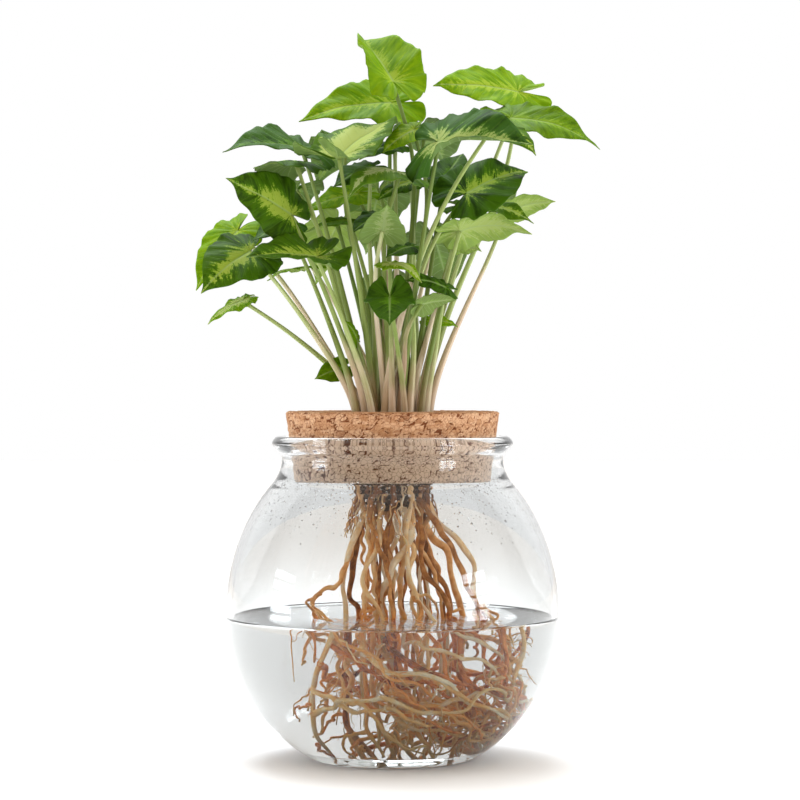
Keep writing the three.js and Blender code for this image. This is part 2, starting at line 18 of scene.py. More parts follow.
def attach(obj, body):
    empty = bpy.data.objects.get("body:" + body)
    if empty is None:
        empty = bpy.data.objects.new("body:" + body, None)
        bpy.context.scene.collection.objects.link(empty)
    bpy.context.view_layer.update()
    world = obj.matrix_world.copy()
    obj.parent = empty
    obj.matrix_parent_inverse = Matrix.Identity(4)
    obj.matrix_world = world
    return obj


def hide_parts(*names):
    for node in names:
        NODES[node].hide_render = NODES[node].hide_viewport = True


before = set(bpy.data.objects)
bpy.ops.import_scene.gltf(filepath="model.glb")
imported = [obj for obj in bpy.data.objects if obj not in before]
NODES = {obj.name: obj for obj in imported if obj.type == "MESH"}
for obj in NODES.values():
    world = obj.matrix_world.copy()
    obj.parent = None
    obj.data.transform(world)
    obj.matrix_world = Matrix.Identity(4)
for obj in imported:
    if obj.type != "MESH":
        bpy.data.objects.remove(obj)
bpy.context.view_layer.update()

MM = 0.001
UP = np.array([0, 0, 1.0])


# %% [markdown]
# ## Small helpers
#
# Every surface below is an array of points in millimetres and an array of
# faces. The first helpers deal with colours, random numbers and curves. The
# solids draw their side roots from a simple stream of numbers, and the same
# stream here puts the fine roots where the solids have theirs.

# %% Colours, numbers and curves
STREAM_FACTOR, STREAM_MODULUS = 16807, 2147483647
CURVE_SAMPLES = 300


def linear(code):
    """An sRGB hex colour as linear RGBA: each channel is divided by 12.92 near black, and otherwise
    raised by 0.055, divided by 1.055 and taken to the power 2.4."""
    channels = [int(code[i:i + 2], 16) / 255 for i in (1, 3, 5)]
    return [c / 12.92 if c <= 0.04045 else ((c + 0.055) / 1.055) ** 2.4 for c in channels] + [1.0]


def random_stream(seed):
    """Numbers from 0 to 1: the state times a factor, modulo a prime, over that prime."""
    state = seed
    while True:
        state = (state * STREAM_FACTOR) % STREAM_MODULUS
        yield state / STREAM_MODULUS


def smoothstep(x, low, high):
    """0 below low, 1 above high, and 3t^2 - 2t^3 between them."""
    t = np.clip((x - low) / (high - low), 0, 1)
    return t * t * (3 - 2 * t)


def unit(v):
    """Vectors divided by their lengths."""
    return v / np.maximum(np.linalg.norm(v, axis=-1, keepdims=True), 1e-9)


def spline(points, share):
    """A uniform Catmull-Rom curve at shares from 0 to 1. Between two points it is the cubic whose slope at
    each of them is half the step between that point's neighbours. The ends are mirrored outwards."""
    points = np.asarray(points, dtype=float)
    padded = np.concatenate([[2 * points[0] - points[1]], points, [2 * points[-1] - points[-2]]])
    place = np.clip(share, 0, 1) * (len(points) - 1)
    i = np.minimum(place.astype(int), len(points) - 2)
    t = (place - i)[:, None]
    p0, p1, p2, p3 = (padded[i + k] for k in range(4))
    return (p1 + 0.5 * t * (p2 - p0) + t ** 2 * (p0 - 2.5 * p1 + 2 * p2 - 0.5 * p3)
            + 0.5 * t ** 3 * (3 * p1 - p0 - 3 * p2 + p3))


def evenly(line, stations):
    """A line of points at places that lie evenly along its length."""
    length = np.concatenate([[0], np.cumsum(np.linalg.norm(np.diff(line, axis=0), axis=1))])
    wanted = np.linspace(0, length[-1], stations)
    return np.stack([np.interp(wanted, length, line[:, k]) for k in range(line.shape[1])], 1)


def even_spline(points, stations):
    """The Catmull-Rom curve through the points, at places that lie evenly along its length."""
    return evenly(spline(points, np.linspace(0, 1, CURVE_SAMPLES)), stations)


# %% [markdown]
# The next helpers make the forms that recur on this object. The vase, the
# water, the cork and the rootstock are profiles turned about the vertical
# axis. The roots and petioles are tubes, and many of them are worked out in one
# array. The last helper turns points and faces into an object that rides on
# the frame's body and stands for its solids.

# %% Turned forms, tubes and pieces
# Radii below ON_AXIS lie on the axis. A tube's rings start from RING_START,
# which is slanted so that few tubes run along it.
ON_AXIS = 1e-6
RING_START = np.array([0.31, 0.9, 0.3])


def full_turn(steps):
    """Angles at even steps round a circle."""
    return np.linspace(0, 2 * np.pi, steps, endpoint=False)


def polar(radius, turn, height, middle=(0.0, 0.0)):
    """Points at a distance and a turn from a middle: x is the middle's plus radius times cosine, and y is
    the middle's plus radius times sine."""
    x, y = middle[0] + radius * np.cos(turn), middle[1] + radius * np.sin(turn)
    return np.stack(np.broadcast_arrays(x, y, height), axis=-1)


def spun(profile, turn):
    """A profile of radius and height at every turn about Z, as points row after row."""
    return polar(profile[:, None, 0], turn, profile[:, None, 1]).reshape(-1, 3)


def grid_faces(rows, columns, closed=False):
    """Quads over points stored row after row. With closed, the last column joins the first."""
    i, j = np.meshgrid(np.arange(rows - 1), np.arange(columns if closed else columns - 1), indexing="ij")
    low, high, k = i * columns, (i + 1) * columns, (j + 1) % columns
    return np.stack([low + j, low + k, high + k, high + j], axis=-1).reshape(-1, 4)


def tube_faces(stations, sides, count):
    """Faces of many closed tubes whose points follow each other: all their sides, then all their ends."""
    around = np.arange(sides)
    ends = np.stack([around[::-1], (stations - 1) * sides + around])
    shift = stations * sides * np.arange(count)[:, None, None]
    quads = grid_faces(stations, sides, closed=True) + shift
    return quads.reshape(-1, 4).tolist() + (ends + shift).reshape(-1, sides).tolist()


def turned(profile, segments):
    """A closed form turned about Z. A profile that starts and ends on the axis is closed there by a fan of
    triangles round one pole."""
    profile = np.asarray(profile, dtype=float)
    inner = profile[profile[:, 0] > ON_AXIS]
    points = spun(inner, full_turn(segments))
    faces = grid_faces(len(inner), segments, closed=True).tolist()
    around = np.arange(segments)
    following = np.roll(around, -1)
    for row, pole, flip in ((0, profile[0], True), (len(inner) - 1, profile[-1], False)):
        if pole[0] < ON_AXIS:
            middle = np.full(segments, len(points))
            fan = np.stack([row * segments + around, row * segments + following, middle], 1)
            faces += (fan[:, ::-1] if flip else fan).tolist()
            points = np.concatenate([points, [[0, 0, pole[1]]]])
    return points, faces


def tubes(paths, radii, sides, section=None):
    """Closed tubes along many paths at once; paths has the shape (tubes, stations, 3). Each ring lies
    across its path. Its zero direction is carried along the path by taking out what it gains lengthwise.
    The section is a factor on the radius for each side."""
    paths, radii = np.asarray(paths, dtype=float), np.asarray(radii, dtype=float)
    count, stations, _ = paths.shape
    tangent = unit(np.gradient(paths, axis=1))
    carried = np.broadcast_to(RING_START, (count, 3))
    normal = np.empty_like(paths)
    for k in range(stations):
        carried = unit(carried - np.sum(carried * tangent[:, k], axis=-1, keepdims=True) * tangent[:, k])
        normal[:, k] = carried
    binormal = np.cross(tangent, normal)
    angle = full_turn(sides)
    section = np.ones(sides) if section is None else section
    ring = ((section * np.cos(angle))[:, None] * normal[:, :, None]
            + (section * np.sin(angle))[:, None] * binormal[:, :, None])
    body = paths[:, :, None] + radii[:, :, None, None] * ring
    along = np.broadcast_to(np.linspace(0, 1, stations)[None, :, None], body.shape[:3])
    which = np.broadcast_to(np.arange(count)[:, None, None], body.shape[:3])
    return body.reshape(-1, 3), tube_faces(stations, sides, count), along.ravel(), which.ravel()


def new_object(name, data):
    """An object that shows its data in the scene."""
    obj = bpy.data.objects.new(name, data)
    bpy.context.scene.collection.objects.link(obj)
    return obj


def piece(name, points, faces, material, replaced, attributes=None):
    """A smooth mesh object. Attributes, by name, are one number for all points or one for each."""
    mesh = bpy.data.meshes.new(name)
    mesh.from_pydata((np.asarray(points) * MM).tolist(), [], faces)
    for key, values in (attributes or {}).items():
        values = np.full(len(mesh.vertices), values, dtype=np.float32)
        mesh.attributes.new(key, "FLOAT", "POINT").data.foreach_set("value", values)
    mesh.polygons.foreach_set("use_smooth", np.ones(len(mesh.polygons), dtype=bool))
    mesh.materials.append(material)
    mesh.update()
    obj = new_object(name, mesh)
    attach(obj, "root")
    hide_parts(*replaced)
    return obj


# %% [markdown]
# ## Material helpers
#
# One small function adds any node with its settings and links, and returns one
# of its outputs. Each material below then reads as a list of what lies on what,
# and its last lines join the pattern to a principled surface. The scale of a
# pattern comes from the size in millimetres that its cells have on the object.

# %% Material helpers
# Settings that many nodes share. A mix of colours takes its share at input 0
# and its colours at 6 and 7, and the result leaves by output 2. A soft range
# has rounded ends.
COLOURS = {"out": 2, "data_type": "RGBA"}
SOFT = {"interpolation_type": "SMOOTHSTEP"}


def add(tree, kind, inputs=(), out=0, stops=(), **settings):
    """Adds a node and returns one of its outputs. Inputs are numbers, colours or other nodes' outputs, by
    socket or in order, settings are the node's properties, and stops are a colour ramp's places and hex
    colours."""
    node = tree.nodes.new("ShaderNode" + kind)
    for key, value in settings.items():
        setattr(node, key, value)
    for key, value in inputs.items() if isinstance(inputs, dict) else enumerate(inputs):
        if isinstance(value, bpy.types.NodeSocket):
            tree.links.new(value, node.inputs[key])
        else:
            node.inputs[key].default_value = value
    for k, (place, code) in enumerate(stops):
        element = node.color_ramp.elements[k] if k < 2 else node.color_ramp.elements.new(place)
        element.position = place
        element.color = linear(code)
    return node.outputs[out] if node.outputs else None


def scale_for(size):
    """The scale of a noise whose cells are that many millimetres wide: one over their width in metres, in
    two figures."""
    return float(f"{1 / (size * MM):.2g}")


def new_material(name):
    """A material with an empty node tree, and that tree."""
    material = bpy.data.materials.new(name)
    material.use_nodes = True
    material.node_tree.nodes.clear()
    return material, material.node_tree


# %% [markdown]
# ## The vase
#
# The vase is blown soda-lime glass: a round bowl with a short neck and a rolled
# rim. A lathe form suits it, because a blown vase is round and its wall has
# the same thickness nearly everywhere. The outside and the inside are one
# closed profile, so a ray that enters the glass also leaves it, and it bends
# as it does in real glass.

# %% Vase shape
BOWL_RADIUS, BOWL_MIDDLE, BOWL_RISE = 69.9, 61.0, 78.5
BOWL_TOP, INNER_TOP, ARC_POINTS = 112, 115, 64
WALL, FLOOR, LIP = 2.6, 5.0, 43.8
NECK = [(49.2, 117), (46.9, 122), (46.6, 127), (49.0, 129.6), (50.6, 132.2), (48.8, 134.8), (45.6, 135.0)]
THROAT_TOP, THROAT_BOTTOM = (LIP, 132.6), (LIP, 121.5)
BASE_HOLLOW, FOOT = [(0, 1.6), (20, 1.4)], [(30.5, 0.9), (32.4, 0.0)]
GLASS_SEGMENTS = 144


def bowl_arc(low, high, inset, count):
    """The bowl's profile between two heights, set in by inset. It is an ellipse round the bowl's middle:
    the radius times cosine outwards, and upwards the half height times sine, larger above the middle."""
    def angle_at(height):
        half = BOWL_RADIUS if height < BOWL_MIDDLE else BOWL_RISE
        return math.asin((height - BOWL_MIDDLE) / (half - inset))
    angle = np.linspace(angle_at(low), angle_at(high), count)
    half = np.where(angle < 0, BOWL_RADIUS, BOWL_RISE)
    radius, height = (BOWL_RADIUS - inset) * np.cos(angle), BOWL_MIDDLE + (half - inset) * np.sin(angle)
    return np.stack([radius, height], 1)


outside = bowl_arc(0, BOWL_TOP, 0, ARC_POINTS)
foot = spline([*FOOT, outside[1], outside[4]], np.linspace(0.3, 1, 9))
neck = spline([outside[-1], *NECK, (LIP + 0.2, 134.2), THROAT_TOP], np.linspace(0, 1, 60))
inside = bowl_arc(FLOOR, INNER_TOP, WALL, ARC_POINTS)[::-1]
throat = spline([THROAT_TOP, THROAT_BOTTOM, inside[0], inside[2]], np.linspace(0, 1, 20))
outer_line = np.concatenate([BASE_HOLLOW, foot, outside[5:], neck[1:]])
vase_profile = np.concatenate([outer_line, throat[1:], inside[3:], [(0, FLOOR)]])
vase_points, vase_faces = turned(vase_profile, GLASS_SEGMENTS)
print("vase profile:", len(vase_profile), "points")

# %% [markdown]
# Clear soda-lime glass bends light by an index of about 1.5. Its own tint only
# shows where a ray runs far through it, at the rim and the base, but the base
# colour here is a light grey: painted shade, which dims all that is seen
# through the glass as a dimmer room behind the vase would. Its surface is
# fire polished, so it has no roughness, and the wall of a blown vase waves very
# slightly, which breaks the window's reflection up. Glass mirrors 4 percent of
# what meets it straight on. Below the water a real wall does that once, where it
# meets the air, but here every ray crosses the glass's inner face too. The
# specular tint lowers both faces' mirroring so that together they haze the
# roots about as much as the one real face does. At the edges nothing is lost.
# Above the water it has a price: seen straight on, the wall mirrors about half
# as much there as real glass does.

# %% Vase material
glass, tree = new_material("clear soda-lime glass")
place = add(tree, "TexCoord", out="Object")
waves = add(tree, "TexNoise", {"Vector": place, "Scale": scale_for(36), "Detail": 1.0})
ripple = add(tree, "Bump", {"Strength": 0.06, "Distance": 2 * MM, "Height": waves})
# The light grey base colour is painted shade over all that the glass shows
surface = add(tree, "BsdfPrincipled", {"Base Color": linear("#e8e9e9"), "Roughness": 0.0, "IOR": 1.5,
                                       "Specular Tint": (0.55, 0.55, 0.55, 1.0), "Transmission Weight": 1.0,
                                       "Normal": ripple})
add(tree, "OutputMaterial", {"Surface": surface})
piece("glass_vase", vase_points, vase_faces, glass, ["vase"])

# %% [markdown]
# ## The water
#
# The water fills the bowl to just under its middle. It is one closed body that
# reaches 0.3 mm into the glass, because two surfaces in the same place would
# fight, and a gap of air would shine like a mirror. At the wall it climbs a
# little, which shows as the bright and dark line round the surface. Water
# against glass mirrors next to nothing, and its specular tint is set for that.
# The open surface has the same tint, so seen straight on it mirrors less than
# real water does.

# %% Water
WATER_LEVEL, MENISCUS, MENISCUS_REACH, OVERLAP = 59.0, 0.9, 1.4, 0.3
SURFACE_STEPS = np.array([0.15, 0.4, 0.8, 1.3, 2.0, 3.0, 4.5, 7.0, 12.0, 24.0, 45.0])
side = bowl_arc(FLOOR - OVERLAP, WATER_LEVEL + MENISCUS, WALL - OVERLAP, 60)
edge = side[-1, 0]
surface_radius = edge - SURFACE_STEPS
surface_height = WATER_LEVEL + MENISCUS * np.exp((surface_radius - edge) / MENISCUS_REACH)
water_profile = [(0, FLOOR - OVERLAP), *side, *zip(surface_radius, surface_height), (0, WATER_LEVEL)]
water_points, water_faces = turned(water_profile, GLASS_SEGMENTS)
water, tree = new_material("still water")
surface = add(tree, "BsdfPrincipled", {"Base Color": linear("#fcfcfb"), "Roughness": 0.0, "IOR": 1.333,
                                       "Specular Tint": (0.17, 0.17, 0.17, 1.0),
                                       "Transmission Weight": 1.0})
add(tree, "OutputMaterial", {"Surface": surface})
piece("vase_water", water_points, water_faces, water, ["water"])
print("water to", WATER_LEVEL, "mm, at the wall to", round(float(surface_height[0]), 1))

# %% [markdown]
# Below the cork the glass is misted: drops have gathered on its inside. Each
# is a shallow cap with its middle on the wall. They are all one mesh, since
# a shape that is repeated this often needs only a few dozen faces.

# %% Drops on the glass
DROPS, RINGS, ROUND = 1500, 4, 8
HIGHEST_DROP, MISTED = 117, 32
SMALLEST_DROP, DROP_GROWTH = 0.16, 0.75
DROP_HEIGHT, DROP_SUNK = 0.55, 0.35
rng = np.random.default_rng(11)
drop_height = HIGHEST_DROP - MISTED * rng.beta(1.0, 2.8, DROPS)
drop_turn = rng.uniform(0, 2 * np.pi, DROPS)
drop_size = SMALLEST_DROP + DROP_GROWTH * rng.beta(1.0, 6.0, DROPS)
wall_line = bowl_arc(HIGHEST_DROP - MISTED - 5, HIGHEST_DROP + 2, WALL, 200)
wall_radius = np.interp(drop_height, wall_line[:, 1], wall_line[:, 0])
outward = polar(1.0, drop_turn, 0.0)
sideways = np.cross(UP, outward)
slope = np.interp(drop_height, wall_line[1:, 1], np.diff(wall_line[:, 0]) / np.diff(wall_line[:, 1]))
upward = unit(slope[:, None] * outward + UP)
inward = np.cross(upward, sideways)
inward *= -np.sign(np.sum(inward * outward, axis=1, keepdims=True))
drop_centre = wall_radius[:, None] * outward + drop_height[:, None] * UP
lift = np.linspace(0, np.pi / 2, RINGS)[:-1]
wide = np.concatenate([[1.0], np.cos(lift)])[:, None, None]
high = np.concatenate([[-DROP_SUNK], DROP_HEIGHT * np.sin(lift)])[:, None, None]
turn = full_turn(ROUND)[:, None]
cap = (wide * np.cos(turn) * sideways[:, None, None] + wide * np.sin(turn) * upward[:, None, None]
       + high * inward[:, None, None])
drop_points = (drop_centre[:, None, None] + drop_size[:, None, None, None] * cap).reshape(-1, 3)
piece("condensation_drops", drop_points, tube_faces(RINGS, ROUND, DROPS), water, ["water"])
print("drops:", DROPS)

# %% [markdown]
# ## The cork ring
#
# The ring is cut from agglomerated cork: granules of bark, about 3.4 mm wide
# and 2.1 mm tall here, pressed together with a binder that shows as dark lines
# and pits. Its shape is a closed profile turned about the axis. The granules
# are cell noise: every point looks for the two nearest of a set of scattered
# seeds. Where both are equally near, it lies in a joint, and the surface sinks.

# %% Cork shape
CORK_BOTTOM, CORK_TOP, CORK_HOLE = 116.2, 145.6, 18.0
BOTTOM_RADIUS, TOP_RADIUS, CHAMFER = 41.3, 44.9, 0.8
GRANULE, FINE_SHARE, FINE_SHIFT, CORK_SEGMENTS = np.array([3.4, 3.4, 2.1]), 0.45, 50, 400
GAP_DEPTH, PIT_DEPTH, FINE_DEPTH, GRAIN_DEPTH = 0.3, 0.45, 0.1, 0.18
CELL_PRIMES, SALT_PRIME = np.array([73856093, 19349663, 83492791]), 2971215073
FIRST_FACTOR, SECOND_FACTOR, LOW_BITS = 2654435761, 2246822519, 0xFFFFFFFF


def hashed(cells, salt):
    """A number from 0 to 1 for each cell of a grid: its three whole numbers times large primes, mixed by
    exclusive or, then multiplied twice more and cut to 32 bits each time."""
    mixed = np.bitwise_xor.reduce(cells * CELL_PRIMES, axis=-1) ^ (salt * SALT_PRIME)
    mixed = (mixed & LOW_BITS) * FIRST_FACTOR & LOW_BITS
    mixed = ((mixed ^ (mixed >> 15)) * SECOND_FACTOR) & LOW_BITS
    return (mixed ^ (mixed >> 13)) / LOW_BITS


def granules(points, size):
    """Cell noise. Each cell of a grid holds one seed at a hashed place. Returns the distance to the nearest
    seed taken from the distance to the second nearest, and a random number for the nearest seed."""
    scaled = points / size
    base = np.floor(scaled).astype(np.int64)
    nearest = np.full(len(points), 9.0)
    second = np.full(len(points), 9.0)
    tone = np.zeros(len(points))
    for shift in np.ndindex(3, 3, 3):
        cell = base + np.array(shift) - 1
        seed = cell + np.stack([hashed(cell, salt) for salt in (1, 2, 3)], 1)
        far = np.linalg.norm(seed - scaled, axis=1)
        closer = far < nearest
        second = np.where(closer, nearest, np.minimum(second, far))
        tone = np.where(closer, hashed(cell, 4), tone)
        nearest = np.minimum(nearest, far)
    return second - nearest, tone


# Each corner's radius and height, and in how many steps the profile gets there
cork_corners = [
    (CORK_HOLE, CORK_BOTTOM, 8), (BOTTOM_RADIUS - CHAMFER, CORK_BOTTOM, 22),
    (BOTTOM_RADIUS, CORK_BOTTOM + CHAMFER, 2), (TOP_RADIUS, CORK_TOP - CHAMFER, 44),
    (TOP_RADIUS - CHAMFER, CORK_TOP, 3), (CORK_HOLE + CHAMFER, CORK_TOP, 38),
    (CORK_HOLE, CORK_TOP - CHAMFER, 3), (CORK_HOLE, CORK_BOTTOM, 14),
]
cork_profile = np.concatenate([
    np.linspace(start[:2], end[:2], end[2], endpoint=False)
    for start, end in zip(cork_corners, cork_corners[1:])
])
across_profile = np.roll(cork_profile, -1, axis=0) - np.roll(cork_profile, 1, axis=0)
cork_normal = unit(np.stack([across_profile[:, 1], -across_profile[:, 0]], 1))
cork_turn = full_turn(CORK_SEGMENTS)
cork_points, cork_out = spun(cork_profile, cork_turn), spun(cork_normal, cork_turn)
joint, grain = granules(cork_points, GRANULE)
fine_joint, _ = granules(cork_points + FINE_SHIFT, GRANULE * FINE_SHARE)
gap = 1 - smoothstep(joint, 0.02, 0.13)
pit = (1 - smoothstep(joint, 0.05, 0.3)) * smoothstep(grain, 0.72, 0.9)
fine_gap = 1 - smoothstep(fine_joint, 0.02, 0.3)
depth = GAP_DEPTH * gap + PIT_DEPTH * pit + FINE_DEPTH * fine_gap + GRAIN_DEPTH * grain
cork_points = cork_points - depth[:, None] * cork_out
cork_quads = grid_faces(len(cork_profile) + 1, CORK_SEGMENTS, closed=True) % len(cork_points)

# %% [markdown]
# Cork is matt, because its cut cells scatter the light. Its granules differ
# from pinkish tan to brown, and the binder and the bark's own flecks are dark.
# The material adds what is too fine for the mesh: crumbs, flecks, and hairline
# cracks that are the edges of a second, smaller cell noise. The part in the
# neck is painted paler and more even, as it looks through the glass in the
# photograph: a painted haze that stands for the glass in front of it.

# %% Cork material
cork, tree = new_material("agglomerated cork")
place = add(tree, "TexCoord", out="Object")
tone = add(tree, "Attribute", out="Fac", attribute_name="grain")
seam = add(tree, "Attribute", out="Fac", attribute_name="gap")
speck = add(tree, "TexNoise", {"Vector": place, "Scale": scale_for(1.11), "Detail": 3.0, "Roughness": 0.6})
body = add(tree, "ValToRGB", [tone], stops=[(0.0, "#ad7e58"), (0.4, "#c29570"), (0.8, "#d0a884"),
                                            (1.0, "#a67652")])
flecks = add(tree, "ValToRGB", [speck], stops=[(0.33, "#8a5531"), (0.46, "#ffffff")])
speckled = add(tree, "Mix", {0: 0.5, 6: body, 7: flecks}, **COLOURS, blend_type="MULTIPLY")
height = add(tree, "SeparateXYZ", [place], "Z")
# Painted haze: inside the glass neck the cork is mixed almost all the way to a pale pink, for the glass in
# front of it
in_neck = add(tree, "MapRange", [height, 133.5 * MM, 136 * MM, 1.0, 0.0])
painted_glass_haze = add(tree, "Mix", {0: 0.97, 6: speckled, 7: linear("#ffdfc2")}, **COLOURS)
placed = add(tree, "Mix", {0: in_neck, 6: speckled, 7: painted_glass_haze}, **COLOURS)
ragged = add(tree, "Math", [speck, 1.2, -0.6], operation="MULTIPLY_ADD")
seam_edge = add(tree, "Math", [seam, ragged], operation="ADD")
seam_share = add(tree, "MapRange", [seam_edge, 0.45, 0.95], **SOFT)
warp = add(tree, "TexNoise", {"Vector": place, "Scale": scale_for(1.67)}, "Color")
warped = add(tree, "Mix", {0: 0.0008, 4: place, 5: warp}, 1, data_type="VECTOR")
cracks = add(tree, "TexVoronoi", {"Vector": warped, "Scale": scale_for(1.92)}, feature="DISTANCE_TO_EDGE")
crack_line = add(tree, "MapRange", [cracks, 0.0, 0.09, 0.6, 0.0])
cracked = add(tree, "Mix", {0: crack_line, 6: placed, 7: linear("#8a5130")}, **COLOURS)
joined = add(tree, "Mix", {0: seam_share, 6: cracked, 7: linear("#6e3c20")}, **COLOURS)
crumb = add(tree, "Bump", {"Strength": 0.5, "Distance": 0.3 * MM, "Height": speck})
surface = add(tree, "BsdfPrincipled", {"Base Color": joined, "Roughness": 0.9, "Specular IOR Level": 0.25,
                                       "Normal": crumb})
add(tree, "OutputMaterial", {"Surface": surface})
cork_numbers = {"grain": grain, "gap": np.clip(gap + 0.5 * pit, 0, 1)}
piece("cork_ring", cork_points, cork_quads.tolist(), cork, ["cork"], cork_numbers)
print("cork points:", len(cork_points), "share in the joints:", round(float((gap > 0.5).mean()), 2))

# %% [markdown]
# ## The rootstock and the roots
#
# The short stem of the plant sits in the hole of the cork. It is dark and
# knobbly with old leaf scars. The main roots follow the same points as the
# solids do. They wander a little, as roots do that grow in water, and carry side
# roots, which carry finer ones. All roots of one kind are tubes in one array.

# %% Root paths
HOLE_X, HOLE_SQUASH, ROOT_MARGIN = 8.0, 0.9, 1.2
SOLID_STATIONS, ROOT_STATIONS, BRANCH_STATIONS = 9, 97, 41
WAVE_STEPS = (1.0, 1.7, 2.9)
STREAM_SEED, BRANCH_CHANCE, SOLID_WINDING = 48271, 0.75, 8
ROOT_HOLE = np.array([(0, 7), (24, 7.4), (33, 11), (39, 20), (42, 34), (43, 60)])
MAIN_ROOTS = [
    [(-9, -5, 112), (-13, -7, 100), (-17, -9, 89), (-21, -10, 74), (-19, -9, 58), (-26, -8, 37),
     (-24, -4, 20), (-14, 2, 9)],
    [(-8, 3, 112), (-13, 5, 96), (-18, 6, 76), (-15, 6, 60), (-14, 4, 44), (-14, 0, 27), (-9, -6, 15),
     (-1, -12, 9)],
    [(-6, -8, 110), (-8, -10, 96), (-11, -12, 77), (-11, -13, 56), (-8, -14, 38), (-9, -18, 22),
     (-3, -22, 11)],
    [(-4, -10, 108), (-7, -14, 91), (-11, -16, 74), (-6, -16, 64), (-4, -12, 48), (-6, -6, 30),
     (3, -2, 11)],
    [(-1, -3, 106), (-1, -4, 79), (-4, -3, 66), (0, -2, 50), (4, 4, 30), (-3, 12, 12)],
    [(3, -8, 108), (7, -13, 98), (6, -14, 90), (-1, -12, 78), (-5, -9, 66), (-2, -8, 50), (4, -10, 36),
     (2, -16, 22)],
    [(1, 6, 106), (1, 8, 84), (0, 6, 54), (2, 10, 35), (7, 18, 18), (14, 20, 10)],
    [(5, -1, 106), (5, -2, 92), (3, -1, 66), (6, -4, 55), (9, -8, 40), (8, -14, 24), (15, -18, 11)],
    [(8, -9, 108), (8, -13, 92), (8, -14, 70), (11, -14, 54), (8, -16, 33)],
    [(10, -8, 108), (12, -11, 90), (15, -13, 78), (20, -14, 69), (24, -14, 57), (24, -18, 42),
     (28, -20, 26), (24, -16, 12)],
    [(10, 3, 108), (15, 5, 98), (22, 7, 84), (28, 8, 68), (31, 8, 58), (34, 10, 44), (36, 12, 28),
     (30, 12, 13)],
    [(9, -3, 106), (14, -5, 91), (18, -6, 80), (22, -6, 68), (24, -4, 56), (20, 2, 42), (22, 8, 28),
     (16, 10, 11)],
    [(11, -5, 112), (19, -8, 102), (28, -10, 89), (34, -11, 76), (38, -11, 66), (42, -10, 54),
     (42, -8, 40), (40, -4, 26), (34, 2, 14)],
    [(10, -9, 110), (19, -13, 98), (26, -16, 85), (31, -18, 74), (36, -18, 62), (39, -16, 48),
     (36, -18, 32), (30, -20, 16)],
    [(-17, -9, 89), (-21, -10, 76), (-28, -10, 71), (-33, -8, 65), (-31, -6, 57), (-22, -4, 53)],
    [(-3, 9, 108), (-7, 15, 90), (-12, 18, 70), (-10, 20, 52), (-14, 20, 34), (-8, 22, 17)],
    [(7, 9, 108), (12, 16, 90), (14, 20, 70), (18, 21, 52), (20, 24, 34), (26, 20, 16)],
]


def kept_in(points, margin=ROOT_MARGIN + 0.75):
    """Points moved towards the middle of the root room until they lie inside its wall, and up to its floor.
    Above the water they stay where they are."""
    points = np.asarray(points, dtype=float)
    height = np.maximum(points[..., 2], ROOT_HOLE[1, 1] + margin)
    room = np.interp(height, ROOT_HOLE[:, 1], ROOT_HOLE[:, 0]) - margin
    room = np.where(height >= ROOT_HOLE[-1, 1], 1e3, room)
    dx, dy = points[..., 0] - HOLE_X, points[..., 1] / HOLE_SQUASH
    share = np.minimum(1, room / np.maximum(np.hypot(dx, dy), 1e-6))
    return np.stack([HOLE_X + dx * share, dy * share * HOLE_SQUASH, height], -1)


def wandering(paths, reach, waves, rng):
    """Paths that swing aside: the sum of three sines along each path, across it, that fades in from its
    start. The first number of waves is given, and the others are 1.7 and 2.9 times as many."""
    paths = np.asarray(paths, dtype=float)
    share = np.linspace(0, 1, paths.shape[1])[None, :, None]
    shape = (len(paths), 1, 3)
    swing = 0
    for more in WAVE_STEPS:
        size = rng.normal(size=shape) / more
        swing = swing + size * np.sin(2 * np.pi * (waves * more * share + rng.uniform(size=shape)))
    return paths + reach * smoothstep(share, 0.0, 0.2) * swing


stream = random_stream(STREAM_SEED)
main_lines, main_fine = (
    [even_spline(kept_in(points), stations) for points in MAIN_ROOTS]
    for stations in (SOLID_STATIONS, ROOT_STATIONS)
)
branches = []
for stations in main_lines:
    for step in range(4, 8):
        start = stations[step]
        turn, reach, drop = 2 * math.pi * next(stream), 7 + 9 * next(stream), 5 + 12 * next(stream)
        share = np.array([0.5, 1.0])
        points = polar(reach * np.sin(1.5 * share), turn + 0.6 * share, start[2] - drop * share ** 2, start)
        if next(stream) < BRANCH_CHANCE:
            branches.append(even_spline(np.vstack([start, kept_in(points)]), BRANCH_STATIONS))
tangle = []
for k in range(SOLID_WINDING):
    stations = main_lines[(k * 5) % len(main_lines)]
    start = stations[4 if next(stream) < 0.5 else 5]
    away = start - np.array([HOLE_X, 0, 0])
    turns = (-1 if next(stream) < 0.5 else 1) * (1.6 + 1.8 * next(stream))
    bottom, outward_reach = 9 + 16 * next(stream), 24 + 14 * next(stream)
    share = np.arange(1, 6) / 5
    shake = np.array([5 * (next(stream) - 0.5) for _ in share])
    distance = np.hypot(*away[:2])
    radius = distance + (outward_reach - distance) * np.minimum(1, 2 * share)
    turn = math.atan2(away[1], away[0]) + turns * share
    points = polar(radius, turn, start[2] + (bottom - start[2]) * share + shake, (HOLE_X, 0))
    tangle.append(even_spline(np.vstack([start, kept_in(points)]), ROOT_STATIONS))
print("roots:", len(main_fine), "main,", len(branches), "branches,", len(tangle), "winding")

# %% [markdown]
# Under water the photograph shows many more thin roots than the solids hold,
# most of them to the right and on the floor of the bowl. They start on a root
# that is there already and wind round the middle, close to the wall.

